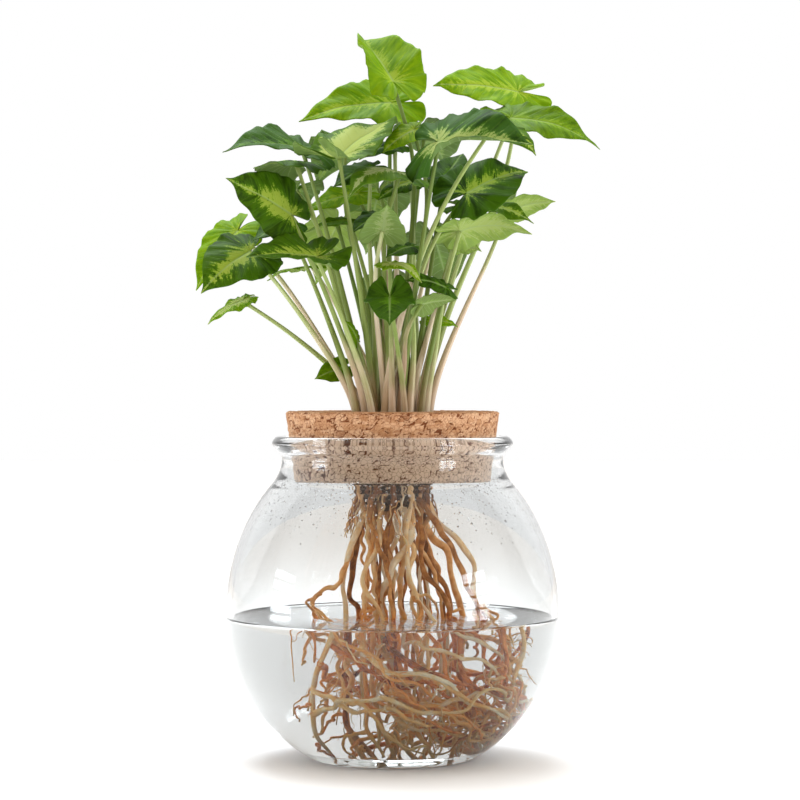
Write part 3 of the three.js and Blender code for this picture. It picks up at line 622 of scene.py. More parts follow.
# %% More roots under water
WINDING, GUIDE_POINTS, FIRST_START, LAST_START = 34, 7, 45, 80
rng = np.random.default_rng(5)
parents = np.array(main_fine)[rng.integers(0, len(main_fine), WINDING)]
starts = parents[np.arange(WINDING), rng.integers(FIRST_START, LAST_START, WINDING)]
share = np.linspace(0, 1, GUIDE_POINTS)[None, :]
away = starts[:, :2] - np.array([HOLE_X, 0])
first_turn = np.arctan2(away[:, 1], away[:, 0])[:, None]
target = rng.normal(0.0, 0.5, WINDING)[:, None]
last_turn = first_turn + np.angle(np.exp(1j * (target - first_turn))) + rng.normal(0, 0.35, (WINDING, 1))
turn = first_turn + (last_turn - first_turn) * share ** 0.8
distance = np.hypot(away[:, 0], away[:, 1])[:, None]
reach = rng.uniform(26, 42, (WINDING, 1))
radius = distance + (reach - distance) * np.minimum(1, 1.8 * share)
radius = radius + rng.normal(0, 2.5, (WINDING, GUIDE_POINTS)) * (share > 0)
bottom = 8 + 34 * rng.beta(0.8, 1.6, (WINDING, 1))
height = starts[:, 2:] + (bottom - starts[:, 2:]) * share ** 0.9
height = height + rng.normal(0, 2.0, (WINDING, GUIDE_POINTS)) * (share > 0)
guide = polar(radius, turn, height, (HOLE_X, 0))
guide[:, 1:] = kept_in(guide[:, 1:])
winding = [even_spline(points, ROOT_STATIONS) for points in guide]
print("more winding roots:", len(winding))

# %% [markdown]
# Other roots leave the rootstock all round and hide it from every side. The
# long ones hang down to the floor, and the stubs are 4 to 20 mm long. Every
# path then gets its own swing, which the solids' straighter roots don't have.

# %% Crown roots and stubs
CROWN_ROOTS, STUBS = 20, 60
CROWN_REACH = [15.6, 15.4, 14.6, 14.2, 14.5, 15.5, 17.0, 18.0]
CROWN_HEIGHTS = [114.5, 109.0, 100.0, 88.0, 74.0, 58.0, 38.0, 15.0]
turn = full_turn(CROWN_ROOTS) + rng.normal(0, 0.12, CROWN_ROOTS)
reach = np.tile(CROWN_REACH, (CROWN_ROOTS, 1))
reach[:, 1:] += rng.normal(0, 1.0, (CROWN_ROOTS, 7)).cumsum(axis=1)
height = np.tile(CROWN_HEIGHTS, (CROWN_ROOTS, 1))
height[:, 3:] += rng.uniform(0, 34, (CROWN_ROOTS, 1)) * np.linspace(0.2, 1, 5)
swept = turn[:, None] + rng.normal(0, 0.13, (CROWN_ROOTS, 8)).cumsum(axis=1)
lean = 5.0 * smoothstep(110 - height, 0, 60)
crown_paths = [even_spline(points, ROOT_STATIONS) for points in polar(reach, swept, height, (lean, 0))]
crown_roots = wandering(crown_paths, 0.8, 3.0, rng)
turn, length = rng.uniform(0, 2 * np.pi, STUBS), rng.uniform(4, 20, STUBS)[:, None]
share = np.linspace(0, 1, 25)[None]
out = 13.0 + 4.0 * np.sin(1.6 * share) + 0.18 * length * share
stub_turn = turn[:, None] + rng.normal(0, 0.25, (STUBS, 1)) * share
stubs = polar(out, stub_turn, rng.uniform(107, 115, (STUBS, 1)) - length * share ** 1.3)
stubs = wandering(stubs, 0.4, 1.5, rng)

mains = wandering(main_fine, 1.0, 3.0, rng)
windings = wandering(tangle + winding, 0.9, 3.1, rng)
branches = wandering(branches, 0.7, 1.6, rng)
submerged = kept_in(windings)
print("winding roots:", len(windings), "crown roots:", len(crown_roots), "stubs:", len(stubs))

# %% [markdown]
# Side roots stand out from their parents at all angles, and hairs stand out
# from the side roots. One function makes all three sizes of them at once, by
# picking the parents and the places on them at random.

# %% Side roots, fine roots and hairs
FIRST_BEARING = 40


def side_roots(parents, count, length, drop, stations, rng, lowest=0.25):
    """Thin roots that leave random places on their parents: straight out in a random direction, then bent
    down by drop times the share of the length squared, with a swing of three sines."""
    parents = np.asarray(parents)
    which = rng.integers(0, len(parents), count)
    at = (parents.shape[1] * rng.uniform(lowest, 0.97, count)).astype(int)
    start = parents[which, at]
    ahead = unit(parents[which, np.minimum(at + 2, parents.shape[1] - 1)] - start)
    out = unit(rng.normal(size=(count, 3)) * [1, 1, 0.6] + 0.5 * ahead)
    size = length * (0.4 + 1.2 * rng.beta(1.5, 2.5, count))[:, None, None]
    share = np.linspace(0, 1, stations)[None, :, None]
    paths = start[:, None] + size * share * out[:, None] - size * drop * share ** 2 * UP
    paths = wandering(paths, 0.16 * length / 3, 1.1, rng)
    wet = paths[..., 2] < ROOT_HOLE[-1, 1]
    return np.where(wet[..., None], kept_in(paths, 0.9), paths)


lower_mains = mains[:, FIRST_BEARING:]
bearing = np.concatenate([lower_mains, submerged[:, :lower_mains.shape[1]]])
laterals = side_roots(bearing, count=120, length=13.0, drop=0.5, stations=21, rng=rng)
fine_roots = side_roots(bearing, count=420, length=6.0, drop=0.3, stations=9, rng=rng)
hair_roots = side_roots(laterals, count=520, length=3.2, drop=0.1, stations=6, rng=rng)
print("side roots:", len(laterals), "fine roots:", len(fine_roots), "hairs:", len(hair_roots))

# %% [markdown]
# Roots that grow in water are smooth and orange brown to tan, with pale young
# tips. The colour changes along each root and from root to root, so two numbers
# are kept on the points: how far along its root a point lies, and a random tone
# for each root. In the air above the water the skin is duller and more golden,
# in the water it is redder. Close to the rootstock dark bark and dirt cling to
# the older roots, and the palest ones stay bare.

# %% Root material
root_skin, tree = new_material("water root skin")
place = add(tree, "TexCoord", out="Object")
along = add(tree, "Attribute", out="Fac", attribute_name="along")
tone = add(tree, "Attribute", out="Fac", attribute_name="tone")
mottle = add(tree, "TexNoise", {"Vector": place, "Scale": scale_for(5.3), "Detail": 5.0, "Roughness": 0.65})
blotch = add(tree, "Math", [mottle, 1.0, -0.5], operation="MULTIPLY_ADD")
shade = add(tree, "Math", [tone, blotch], operation="ADD", use_clamp=True)
dry_skin = add(tree, "ValToRGB", [shade], stops=[(0.0, "#74452a"), (0.2, "#bd7a42"), (0.45, "#f6b674"),
                                                 (0.7, "#fdd8a2"), (1.0, "#fff4dc")])
wet_skin = add(tree, "ValToRGB", [shade], stops=[(0.0, "#834a26"), (0.12, "#c46c32"), (0.32, "#fb9f50"),
                                                 (0.56, "#ffbb68"), (0.8, "#ffd794"), (1.0, "#fff2d0")])
height = add(tree, "SeparateXYZ", [place], "Z")
dry = add(tree, "MapRange", [height, WATER_LEVEL * MM, (WATER_LEVEL + 5) * MM])
skin = add(tree, "Mix", {0: dry, 6: wet_skin, 7: dry_skin}, **COLOURS)
young = add(tree, "MapRange", [along, 0.72, 1.0, 0.0, 0.65], **SOFT)
tinted = add(tree, "Mix", {0: young, 6: skin, 7: linear("#e2c98a")}, **COLOURS)
ragged_height = add(tree, "Math", [mottle, 0.05, height], operation="MULTIPLY_ADD")
near_stem = add(tree, "MapRange", [ragged_height, 123 * MM, 141 * MM], **SOFT)
bare = add(tree, "MapRange", [tone, 0.5, 0.7, 0.85, 0.0])
dirt = add(tree, "Math", [near_stem, bare], operation="MULTIPLY")
soiled = add(tree, "Mix", {0: dirt, 6: tinted, 7: linear("#7a5238")}, **COLOURS)
wrinkles = add(tree, "Bump", {"Strength": 0.6, "Distance": 0.8 * MM, "Height": mottle})
surface = add(tree, "BsdfPrincipled", {"Base Color": soiled, "Roughness": 0.4, "Specular IOR Level": 0.06,
                                       "Normal": wrinkles})
add(tree, "OutputMaterial", {"Surface": surface})


def root_piece(name, paths, base, tip, sides, rng, tones=(0.15, 0.75)):
    """Tubes whose radius falls from base to tip and swells by up to 14 percent at random along the way."""
    paths = np.asarray(paths)
    share = np.linspace(0, 1, paths.shape[1])[None]
    column = (len(paths), 1)
    swell = 1 + 0.14 * np.sin(2 * np.pi * (rng.uniform(3, 9, column) * share + rng.uniform(size=column)))
    size = rng.uniform(0.75, 1.15, column)
    radii = (base + (tip - base) * share ** 0.8) * swell * size
    points, faces, lengthwise, which = tubes(paths, radii, sides)
    tone = rng.uniform(*tones, len(paths))[which]
    piece(name, points, faces, root_skin, ["roots"], {"along": lengthwise, "tone": tone})
    print(name, "triangles:", 2 * len(paths) * sides * paths.shape[1])


# Name, paths, radius at the base and at the tip, sides, and the range of tones
root_piece("main_roots", mains, 1.5, 0.8, 10, rng, (0.08, 1.0))
root_piece("crown_roots", kept_in(crown_roots), 1.2, 0.55, 9, rng, (0.05, 1.0))
root_piece("root_stubs", stubs, 0.6, 0.22, 6, rng, (0.1, 1.0))
root_piece("winding_roots", submerged, 0.95, 0.6, 8, rng, (0.08, 0.95))
wet = branches[..., 2:] < ROOT_HOLE[-1, 1]
root_piece("branch_roots", np.where(wet, kept_in(branches), branches), 0.8, 0.4, 7, rng)
root_piece("side_roots", laterals, 0.42, 0.2, 5, rng, (0.3, 0.95))
root_piece("fine_roots", fine_roots, 0.24, 0.12, 4, rng, (0.4, 1.0))
root_piece("root_hairs", hair_roots, 0.13, 0.07, 3, rng, (0.5, 1.0))

# %% [markdown]
# The rootstock is a turned form as well. Its knobs and old scars are sums of
# sines round it and up it, which change its radius by a few percent. Bark is
# dry and rough, so it is nearly matt, dark brown with lighter flakes.

# %% Rootstock
STOCK_SIDE = [(7, 103.6), (13.5, 106.6), (15.9, 113), (17.5, 119), (17.7, 125), (16.9, 127.8)]
STOCK_BOTTOM, STOCK_TOP = [(0, 104), (3.5, 103.4)], [(9.0, 128.6), (4.0, 128.9), (0, 129.0)]
stock_profile = np.concatenate([STOCK_BOTTOM, spline(STOCK_SIDE, np.linspace(0, 1, 44)), STOCK_TOP])
stock_points, stock_faces = turned(stock_profile, 96)
turn, height = np.arctan2(stock_points[:, 1], stock_points[:, 0]), stock_points[:, 2]
knobs = (np.sin(9 * turn + 0.9 * height) * np.sin(0.75 * height + 1.3 * np.sin(3 * turn))
         + 0.5 * np.sin(23 * turn - 1.7 * height))
below = 1 - smoothstep(height, 117, 121)
reach = np.hypot(stock_points[:, 0], stock_points[:, 1])
shrink = 1 + (0.055 * knobs - 0.03) * smoothstep(reach, 2.0, 8.0) * below
stock_points = stock_points * np.stack([shrink, shrink, np.ones_like(shrink)], 1)
bark, tree = new_material("dark stem bark")
place = add(tree, "TexCoord", out="Object")
flaking = add(tree, "TexNoise", {"Vector": place, "Scale": scale_for(3), "Detail": 4.0, "Roughness": 0.65})
bark_tone = add(tree, "ValToRGB", [flaking], stops=[(0.3, "#1c120c"), (0.5, "#4a3120"), (0.75, "#80603f")])
flakes = add(tree, "Bump", {"Strength": 0.7, "Distance": 1.2 * MM, "Height": flaking})
surface = add(tree, "BsdfPrincipled", {"Base Color": bark_tone, "Roughness": 0.75,
                                       "Specular IOR Level": 0.15, "Normal": flakes})
add(tree, "OutputMaterial", {"Surface": surface})
piece("rootstock", stock_points, stock_faces, bark, ["roots"])
print("rootstock points:", len(stock_points))

# %% [markdown]
# ## The leaves
#
# Each row names the leaf's look, which is its variegation and how much bluish
# sheen is painted on it, and then says where its blade meets the petiole, where
# its point is and which way its upper side turns, with the few numbers by which
# it differs from a plain leaf. The solids are made from the same rows, so the
# fine blades lie in the same places.

# %% Leaf table
PLAIN_LEAF = dict(width=0.9, arch=0.08, fold=10, curl=0.15, lobe=0.2, twist=0, wave=0.02,
                  fold_from=-0.35, fold_to=0.25)
LEAF_ROWS = [
    ("young", (0, 0, 284), (-15, 28, 307), (2.7, -5.2, 8), dict(arch=0.03, fold=42, lobe=0)),
    ("young", (-1, 20, 277), (-39, 12, 269), (0, -7, 7), dict(width=0.95, arch=0.06, fold=15, lobe=0.1)),
    ("cream", (-22, -24, 250), (4, 6, 269), (-4, -6, 8), dict(width=1, arch=0.05, fold=20, lobe=-0.7)),
    ("bluish", (-38, 6, 256), (-70, -12, 254), (0, -5, 8), dict(width=1, fold=20)),
    ("variegated", (-40, -10, 249), (-57, -34, 245), (0, 2, 10), dict(width=1, arch=0.05, fold=0,
      curl=0.4)),
    ("variegated", (-42, -17, 227), (-68, -34, 240), (-1, -9, 5), dict(width=1.15, arch=0.05, fold=12)),
    ("young", (-66, 16, 222), (-83, 5, 197), (-3, -7, 5), dict(width=0.95, arch=0.06)),
    ("variegated", (-59, -11, 212), (-78, -30, 195), (-2, -10, 3), dict(width=1.15)),
    ("bluish", (-44, 5, 224), (-58, -8, 216), (0, -6, 8), dict(width=1)),
    ("variegated", (-31, -27, 209), (-59, -47, 207), (0, -6, 8), dict(arch=0.05, fold=25, lobe=-0.3)),
    ("pale", (-34, 14, 207), (-53, 8, 202), (0, 0, 10), dict(arch=0.05, fold=0)),
    ("pale", (-63, 2, 192), (-77, -3, 182), (-3, -5, 7), dict(width=0.7, fold=0)),
    ("grey", (3, -16, 244), (-18, -32, 234), (0, -4, 9), dict(width=1.1, arch=0.2, fold=0, lobe=0.4)),
    ("dark", (-9, 2, 248), (-25, -10, 238), (-1, -7, 7), dict(fold=0)),
    ("young", (-15, 20, 238), (-39, 14, 229), (0, -6, 8), dict(width=0.7)),
    ("green", (-18, 13, 226), (-37, 9, 221), (0, -3, 9), dict(width=0.7)),
    ("dark", (-5, -2, 227), (-17, -14, 219), (0, -6, 8), dict()),
    ("grey", (-4, -26, 220), (-2, -44, 229), (0, 7, 7), dict(width=1.2, arch=0.05, fold=-6, curl=0.3)),
    ("dark", (8, -10, 214), (-3, -22, 208), (0, -6, 8), dict()),
    ("dark", (-1, -36, 192), (-1, -56, 180), (0, -6, 7), dict(width=1.1, arch=0.1, fold=8, lobe=-0.5)),
    ("pale", (-1, -26, 206), (12, -34, 199), (0, -3, 9), dict(width=0.8, arch=0.15, fold=0)),
    ("green", (12, -25, 190), (26, -18, 192), (0, 7, 6), dict(arch=0.05, fold=0, curl=0.3)),
    ("dark", (22, -12, 197), (5, -20, 200), (0, -7, 7), dict(width=0.7, fold=0)),
    ("young", (16, 10, 184), (28, 8, 181), (0, -5, 8), dict(fold=0)),
    ("deep", (31, -14, 236), (58, 8, 248), (0, -7, 7), dict(width=1, arch=0.05, fold=15)),
    ("feathered", (19, -28, 256), (56, -50, 253), (0, -8, 6), dict(width=1.05, arch=0.06, fold=38,
      twist=0.8, fold_from=-0.1, fold_to=0.5)),
    ("young", (54, 33, 283), (16, 17, 283), (0, -7, 7), dict(width=0.95, arch=0.06, lobe=0)),
    ("olive", (50, 6, 269), (88, 2, 255), (1, -6, 8), dict(width=0.75, arch=0.1, fold=12)),
    ("speckled", (43, -15, 265), (59, -27, 250), (5, -6, 6), dict(width=0.8, arch=0.1, fold=0)),
    ("pale", (49, 22, 231), (70, 20, 235), (0, 6, 7), dict(fold=0)),
    ("speckled", (31, 8, 232), (60, 2, 224), (0, -4, 9), dict(width=0.7, arch=0.12, fold=5)),
    ("pale", (28, -8, 221), (58, -10, 219), (0, 5, 9), dict(width=1, arch=0.14, fold=0)),
    ("pale", (27, 12, 216), (38, 10, 213), (0, 5, 8), dict(width=1.2, arch=0.1, fold=0)),
    ("olive", (-21, 5, 164), (-33, 0, 159), (0, -9, 3), dict(width=1, arch=0.05, fold=0)),
    ("young", (9, -6, 263), (-4, -14, 252), (0, -6, 8), dict(fold=5)),
    ("dark", (1, 12, 258), (-14, 6, 252), (0, -5, 8), dict(fold=5)),
    ("variegated", (8, 14, 243), (-6, 10, 235), (0, -6, 8), dict(fold=5)),
    ("dark", (22, 2, 243), (30, 18, 255), (0, -7, 7), dict(width=1, arch=0.05, fold=5)),
    ("olive", (-15, -12, 176), (-20, -17, 183), (3, -6, 5), dict(width=1, fold=0)),
    ("variegated", (-20, 34, 262), (-34, 64, 246), (-1, 7, 8), dict(width=0.95)),
    ("feathered", (14, 38, 268), (24, 70, 252), (1, 7, 8), dict(width=0.95)),
    ("dark", (38, 33, 247), (52, 60, 234), (3, 7, 8), dict(width=0.95)),
    ("variegated", (-42, 28, 241), (-58, 52, 224), (-3, 7, 8), dict()),
    ("variegated", (-6, 42, 242), (-12, 68, 214), (0, 8, 7), dict(width=0.95)),
    ("dark", (18, 38, 220), (25, 62, 196), (1, 8, 7), dict(width=0.95)),
    ("young", (-24, 34, 226), (-34, 60, 202), (-2, 8, 7), dict(width=0.95)),
    ("variegated", (-2, 32, 200), (-2, 52, 176), (0, 8, 7), dict()),
]
LEAVES = [{**PLAIN_LEAF, **changes, "look": look, "at": at, "tip": tip, "face": face}
          for look, at, tip, face, changes in LEAF_ROWS]

# How far the cream runs from the midrib, how young and yellow the green is,
# how much bluish sheen is painted on it, and how broken the edge of the cream is
LOOKS = {
    "dark": (0.06, 0.00, 0.04, 0.6),
    "bluish": (0.08, 0.05, 0.35, 0.6),
    "green": (0.14, 0.25, 0.05, 0.6),
    "deep": (0.25, 0.00, 0.00, 1.1),
    "variegated": (0.27, 0.06, 0.03, 1.0),
    "feathered": (0.27, 0.03, 0.38, 1.0),
    "cream": (0.66, 0.20, 0.20, 1.0),
    "speckled": (0.28, 0.20, 0.05, 1.8),
    "young": (0.20, 0.85, 0.00, 1.1),
    "pale": (0.50, 0.80, 0.35, 1.0),
    "grey": (0.30, 0.35, 0.70, 0.6),
    "olive": (0.12, 0.45, 0.00, 0.7),
}
print("leaves:", len(LEAVES))

# %% [markdown]
# ### Blade shape
#
# Half of a blade's outline runs from its tip round the basal lobe to the sinus
# where the petiole joins. A point on the blade is a share of the way out from
# there to the outline, so the grid is a fan, and it closes in one point at the
# petiole. The height over that plane has the arch of the midrib, the droop of
# the lobes and edges, the fold, the twist and the waves of the margin. On top
# of that come the forms that only a fine mesh can show: the groove over the
# midrib, the soft swelling between the side veins, and a blade that thins
# towards its margin.

# %% Blade surface
OUTLINE = [(1.0, 0.0), (0.9, 0.045), (0.74, 0.17), (0.52, 0.3), (0.28, 0.385), (0.04, 0.4), (-0.17, 0.355),
           (-0.31, 0.245), (-0.35, 0.14), (-0.27, 0.065), (-0.05, 0.008)]
SOFTNESS = 0.02
VEIN_SLANT = 0.8
VEIN_SPACING = 0.118
LOBE_VEIN_DEGREES = 22.0
BLADE_THICKNESS, MARGIN_THICKNESS = 0.62, 0.3
GROOVE_DEPTH, GROOVE_REACH, RIB_HEIGHT, RIB_REACH = 0.25, 0.7, 0.5, 0.8
OUTLINE_WOBBLE, QUILT_HEIGHT = 0.025, 0.005
LARGE_LEAF, FINE_GRID, COARSE_GRID = 28, (61, 20), (41, 13)


def blade_outline(count):
    """Both halves of the outline as one line, from one side of the sinus round the tip to the other."""
    half = spline(OUTLINE, np.linspace(0, 1, count))
    return np.concatenate([half[::-1] * [1, -1], half[1:]])


def vein_number(u, v):
    """A number that is whole on each side vein. Ahead of the petiole, veins leave the midrib at even steps
    and slant forward: u less the slant times the distance across, over the spacing. In the lobes they
    radiate from the petiole, and the number falls with the angle."""
    ahead = (u - VEIN_SLANT * np.abs(v)) / VEIN_SPACING
    turn = np.degrees(np.arctan2(np.abs(v), u))
    first = math.degrees(math.atan2(1, VEIN_SLANT))
    behind = -(turn - first) / LOBE_VEIN_DEGREES
    return np.where(turn < first, ahead, behind)


def blade_height(leaf, u, v, ring):
    """Height over the plane of the midrib as a share of the blade's length. It is the sum of a parabola
    along the midrib, a drop of the lobes, a rounded crease, a parabola across, a twist and five waves that
    grow with the cube of the share from petiole to margin."""
    ahead, behind = np.clip(u, 0, 1), np.clip(-u, 0, 1)
    crease = np.sqrt(v * v + SOFTNESS ** 2) - SOFTNESS
    folded = math.tan(math.radians(leaf["fold"])) * smoothstep(u, leaf["fold_from"], leaf["fold_to"])
    return (4 * leaf["arch"] * ahead * (1 - ahead) - 2.4 * leaf["lobe"] * behind ** 1.5 + folded * crease
            - 3 * leaf["curl"] * v * v - leaf["twist"] * u * v
            + leaf["wave"] * ring ** 3 * np.sin(5 * np.arctan2(v, u) + leaf["at"][0]))


def ruffled(leaf, u, v, share):
    """Small waves as a share of the blade's length, which differ from leaf to leaf: nine and nineteen round
    the margin, and two slanting ones over the blade, all growing from petiole to margin."""
    turn, phase = np.arctan2(v, u), 2.3 * leaf["at"][0] + 1.1 * leaf["at"][2]
    return (0.022 * share ** 3 * np.sin(9 * turn + phase)
            + 0.012 * share ** 4 * np.sin(19 * turn + 2.3 * phase)
            + 0.018 * share ** 2 * np.sin(6 * u + 5 * v + 0.7 * phase)
            + 0.008 * share * np.sin(13 * u - 11 * v + phase))


def closed_fan(rings, columns, total):
    """Faces of two fans that share a shape and lie total points apart, one above the other: the upper, the
    lower, turned over, and a rim of walls between their edges."""
    j = np.arange(columns - 1)
    fan = np.stack([np.zeros_like(j), 1 + j, 2 + j], 1)
    quads = 1 + grid_faces(rings, columns)[:, ::-1]
    first = 1 + np.arange(rings) * columns
    rim = np.concatenate([[0], first, first[-1] + np.arange(1, columns - 1), first[::-1] + columns - 1])
    next_rim = np.roll(rim, -1)
    walls = np.stack([rim, rim + total, next_rim + total, next_rim], 1)
    lower = (total + fan[:, ::-1]).tolist() + (total + quads[:, ::-1]).tolist()
    return fan.tolist() + quads.tolist() + lower + walls.tolist()


def blade(leaf):
    """Points, faces and point numbers of one closed blade: its flat place, plus the height of the form,
    plus or minus half the thickness, less the groove above and the rib below, which are bell curves."""
    at, tip, face = (np.array(leaf[key], dtype=float) for key in ("at", "tip", "face"))
    length = np.linalg.norm(tip - at)
    forward = (tip - at) / length
    up = unit(face - face.dot(forward) * forward)
    across = np.cross(up, forward)
    count, rings = FINE_GRID if length > LARGE_LEAF else COARSE_GRID
    outline = blade_outline(count)
    wobble = np.sin(5 * np.arctan2(outline[:, 1], outline[:, 0]) + 0.37 * at[2])
    outline *= (1 + OUTLINE_WOBBLE * wobble)[:, None]
    ring = (np.linspace(0, 1, rings + 1)[1:] ** 0.9)[:, None]
    u = outline[None, :, 0] * ring
    v = outline[None, :, 1] * ring * leaf["width"]
    u, v = np.append(0.0, u.ravel()), np.append(0.0, v.ravel())
    share = np.append(0.0, np.repeat(ring[:, 0], len(outline)))
    number = vein_number(u, v)
    beside = np.where(u > 0, np.abs(v), np.hypot(u, v))
    half_width = np.interp(u, *np.transpose(OUTLINE[5::-1])) * leaf["width"]
    spread = np.clip(np.where(u > 0, np.abs(v) / np.maximum(half_width, 0.02), share), 0, 1)
    outline_reach = np.hypot(outline[:, 0], outline[:, 1] * leaf["width"])
    margin = (1 - share) * np.append(0.0, np.tile(outline_reach, rings)) * length
    quilt = (0.5 - 0.5 * np.cos(2 * np.pi * number)) * smoothstep(spread, 0.05, 0.4)
    quilt = quilt * (1 - smoothstep(spread, 0.75, 1.0)) * smoothstep(share, 0, 0.3)
    height = (blade_height(leaf, u, v, share) + ruffled(leaf, u, v, share) + QUILT_HEIGHT * quilt) * length
    thickness = MARGIN_THICKNESS + (BLADE_THICKNESS - MARGIN_THICKNESS) * (1 - share ** 2)
    groove = np.exp(-(beside * length / GROOVE_REACH) ** 2) * (1 - 0.6 * np.clip(u, 0, 1))
    rib = RIB_HEIGHT * np.exp(-(beside * length / RIB_REACH) ** 2) * (1 - 0.7 * np.clip(u, 0, 1))
    flat = at + length * (u[:, None] * forward + v[:, None] * across)
    upper = flat + (height + thickness / 2 - GROOVE_DEPTH * groove)[:, None] * up
    lower = flat + (height - thickness / 2 - rib)[:, None] * up
    numbers = {"vein": number + 100, "beside": beside * length, "spread": spread, "margin": margin,
               "forward": u}
    numbers = {key: np.tile(values, 2) for key, values in numbers.items()}
    numbers["under"] = np.repeat([0.0, 1.0], len(u))
    return np.concatenate([upper, lower]), closed_fan(rings, len(outline), len(u)), numbers


# %% [markdown]
# ### Blade material
#
# The cream of a variegated arrowhead leaf spreads from the midrib and runs out
# along the side veins with a feathered edge, while the margin stays green. The
# material therefore works in the leaf's own numbers: the share from midrib to
# margin, the number of the side vein, and the distances from midrib and margin
# in millimetres. Noise that is stretched along the veins tears the edge of the
# cream. The skin is waxy and gives a soft, weak sheen, and some light passes
# through a blade about half a millimetre thick. A bluish sheen is also painted
# into the colour in patches: a painted reflection of a bright window. The
# underside is paler and matt. The skin's cells are drawn 0.67 mm wide, far
# coarser than real ones, because real ones are too small to show.

# %% Blade material
leaf_skin, tree = new_material("variegated arrowhead leaf")
vein, beside, spread, margin, forward, under = (
    add(tree, "Attribute", out="Fac", attribute_name=name)
    for name in ("vein", "beside", "spread", "margin", "forward", "under")
)
cream, youth, painted_sheen, broken, seed = (
    add(tree, "Attribute", out="Fac", attribute_name=name)
    for name in ("cream", "youth", "painted_sheen", "broken", "seed")
)
leaf_place = add(tree, "CombineXYZ", [vein, spread, seed])
along_veins = add(tree, "VectorMath", [leaf_place, (1.6, 1.5, 1.0)], operation="MULTIPLY")
feather = add(tree, "TexNoise", {"Vector": along_veins, "Scale": 1.4, "Detail": 4.0, "Roughness": 0.62})
patches = add(tree, "TexNoise", {"Vector": along_veins, "Scale": 0.5, "Detail": 2.0})
place = add(tree, "TexCoord", out="Object")
powder = add(tree, "TexNoise", {"Vector": place, "Scale": scale_for(0.91), "Detail": 2.0, "Roughness": 0.8})
cells = add(tree, "TexVoronoi", {"Vector": place, "Scale": scale_for(0.67)})

# Lines of the veins, from 0 beside them to 1 on them
vein_gap = add(tree, "Math", [vein, 0.5], operation="PINGPONG")
on_vein = add(tree, "MapRange", [vein_gap, 0.02, 0.1, 1.0, 0.0], **SOFT)
vein_end = add(tree, "MapRange", [spread, 0.85, 1.0, 1.0, 0.0])
side_vein = add(tree, "Math", [on_vein, vein_end], operation="MULTIPLY")
tapered = add(tree, "Math", [forward, 0.35, beside], operation="MULTIPLY_ADD")
rib = add(tree, "MapRange", [tapered, 0.35, 0.75, 1.0, 0.0], **SOFT)
before_tip = add(tree, "MapRange", [margin, 0.0, 3.0])
midrib = add(tree, "Math", [rib, before_tip], operation="MULTIPLY")

# How far the cream reaches, less the share from midrib to margin. The last
# number takes off the middle of the two noises that were added.
narrowing = add(tree, "Math", [forward, -0.12, cream], operation="MULTIPLY_ADD")
streaked = add(tree, "Math", [side_vein, 0.12, narrowing], operation="MULTIPLY_ADD")
tear = add(tree, "Math", [feather, 1.5, -0.75], operation="MULTIPLY_ADD")
torn = add(tree, "Math", [tear, broken, streaked], operation="MULTIPLY_ADD")
drifted = add(tree, "Math", [patches, 0.9, torn], operation="MULTIPLY_ADD")
dusted = add(tree, "Math", [powder, 0.75, drifted], operation="MULTIPLY_ADD")
past_edge = add(tree, "Math", [dusted, spread], operation="SUBTRACT")
inside = add(tree, "Math", [past_edge, 0.825], operation="SUBTRACT")
light_zone = add(tree, "MapRange", [inside, -0.16, 0.02], **SOFT)
cream_edge = add(tree, "MapRange", [inside, -0.03, 0.12], **SOFT)
has_cream = add(tree, "MapRange", [cream, 0.1, 0.3])
cream_zone = add(tree, "Math", [cream_edge, has_cream], operation="MULTIPLY")

# Colours of the upper side, from the green outwards in
mottled = add(tree, "Math", [feather, patches], operation="ADD")
warm_dark = add(tree, "ValToRGB", [mottled], stops=[(0.72, "#172e03"), (1.0, "#3f640b")])
# Painted sheen: a bluish painted reflection of a window, in patches, mixed into the dark green, the light
# green and the cream
uneven_painted_sheen = add(tree, "MapRange", [patches, 0.25, 0.6, 0.3])
painted_sheen_share = add(tree, "Math", [uneven_painted_sheen, painted_sheen], operation="MULTIPLY")
dark_green = add(tree, "Mix", {0: painted_sheen_share, 6: warm_dark, 7: linear("#2f5a35")}, **COLOURS)
young_green = add(tree, "ValToRGB", [feather], stops=[(0.3, "#629206"), (0.7, "#96ba14")])
green = add(tree, "Mix", {0: youth, 6: dark_green, 7: young_green}, **COLOURS)
old_light = add(tree, "Mix", {0: painted_sheen, 6: linear("#5c8812"), 7: linear("#6b9658")}, **COLOURS)
light_green = add(tree, "Mix", {0: youth, 6: old_light, 7: linear("#9cbb22")}, **COLOURS)
yellow_cream = add(tree, "Mix", {0: youth, 6: linear("#aabd45"), 7: linear("#b2c548")}, **COLOURS)
pale_cream = add(tree, "Mix", {0: painted_sheen, 6: yellow_cream, 7: linear("#c6cfa2")}, **COLOURS)
inner = add(tree, "Mix", {0: light_zone, 6: green, 7: light_green}, **COLOURS)
blended = add(tree, "Mix", {0: cream_zone, 6: inner, 7: pale_cream}, **COLOURS)
vein_tint = add(tree, "Math", [side_vein, 0.07], operation="MULTIPLY")
veined = add(tree, "Mix", {0: vein_tint, 6: blended, 7: linear("#8fae55")}, **COLOURS)
rib_tint = add(tree, "Math", [midrib, 0.55], operation="MULTIPLY")
top = add(tree, "Mix", {0: rib_tint, 6: veined, 7: linear("#9db671")}, **COLOURS)

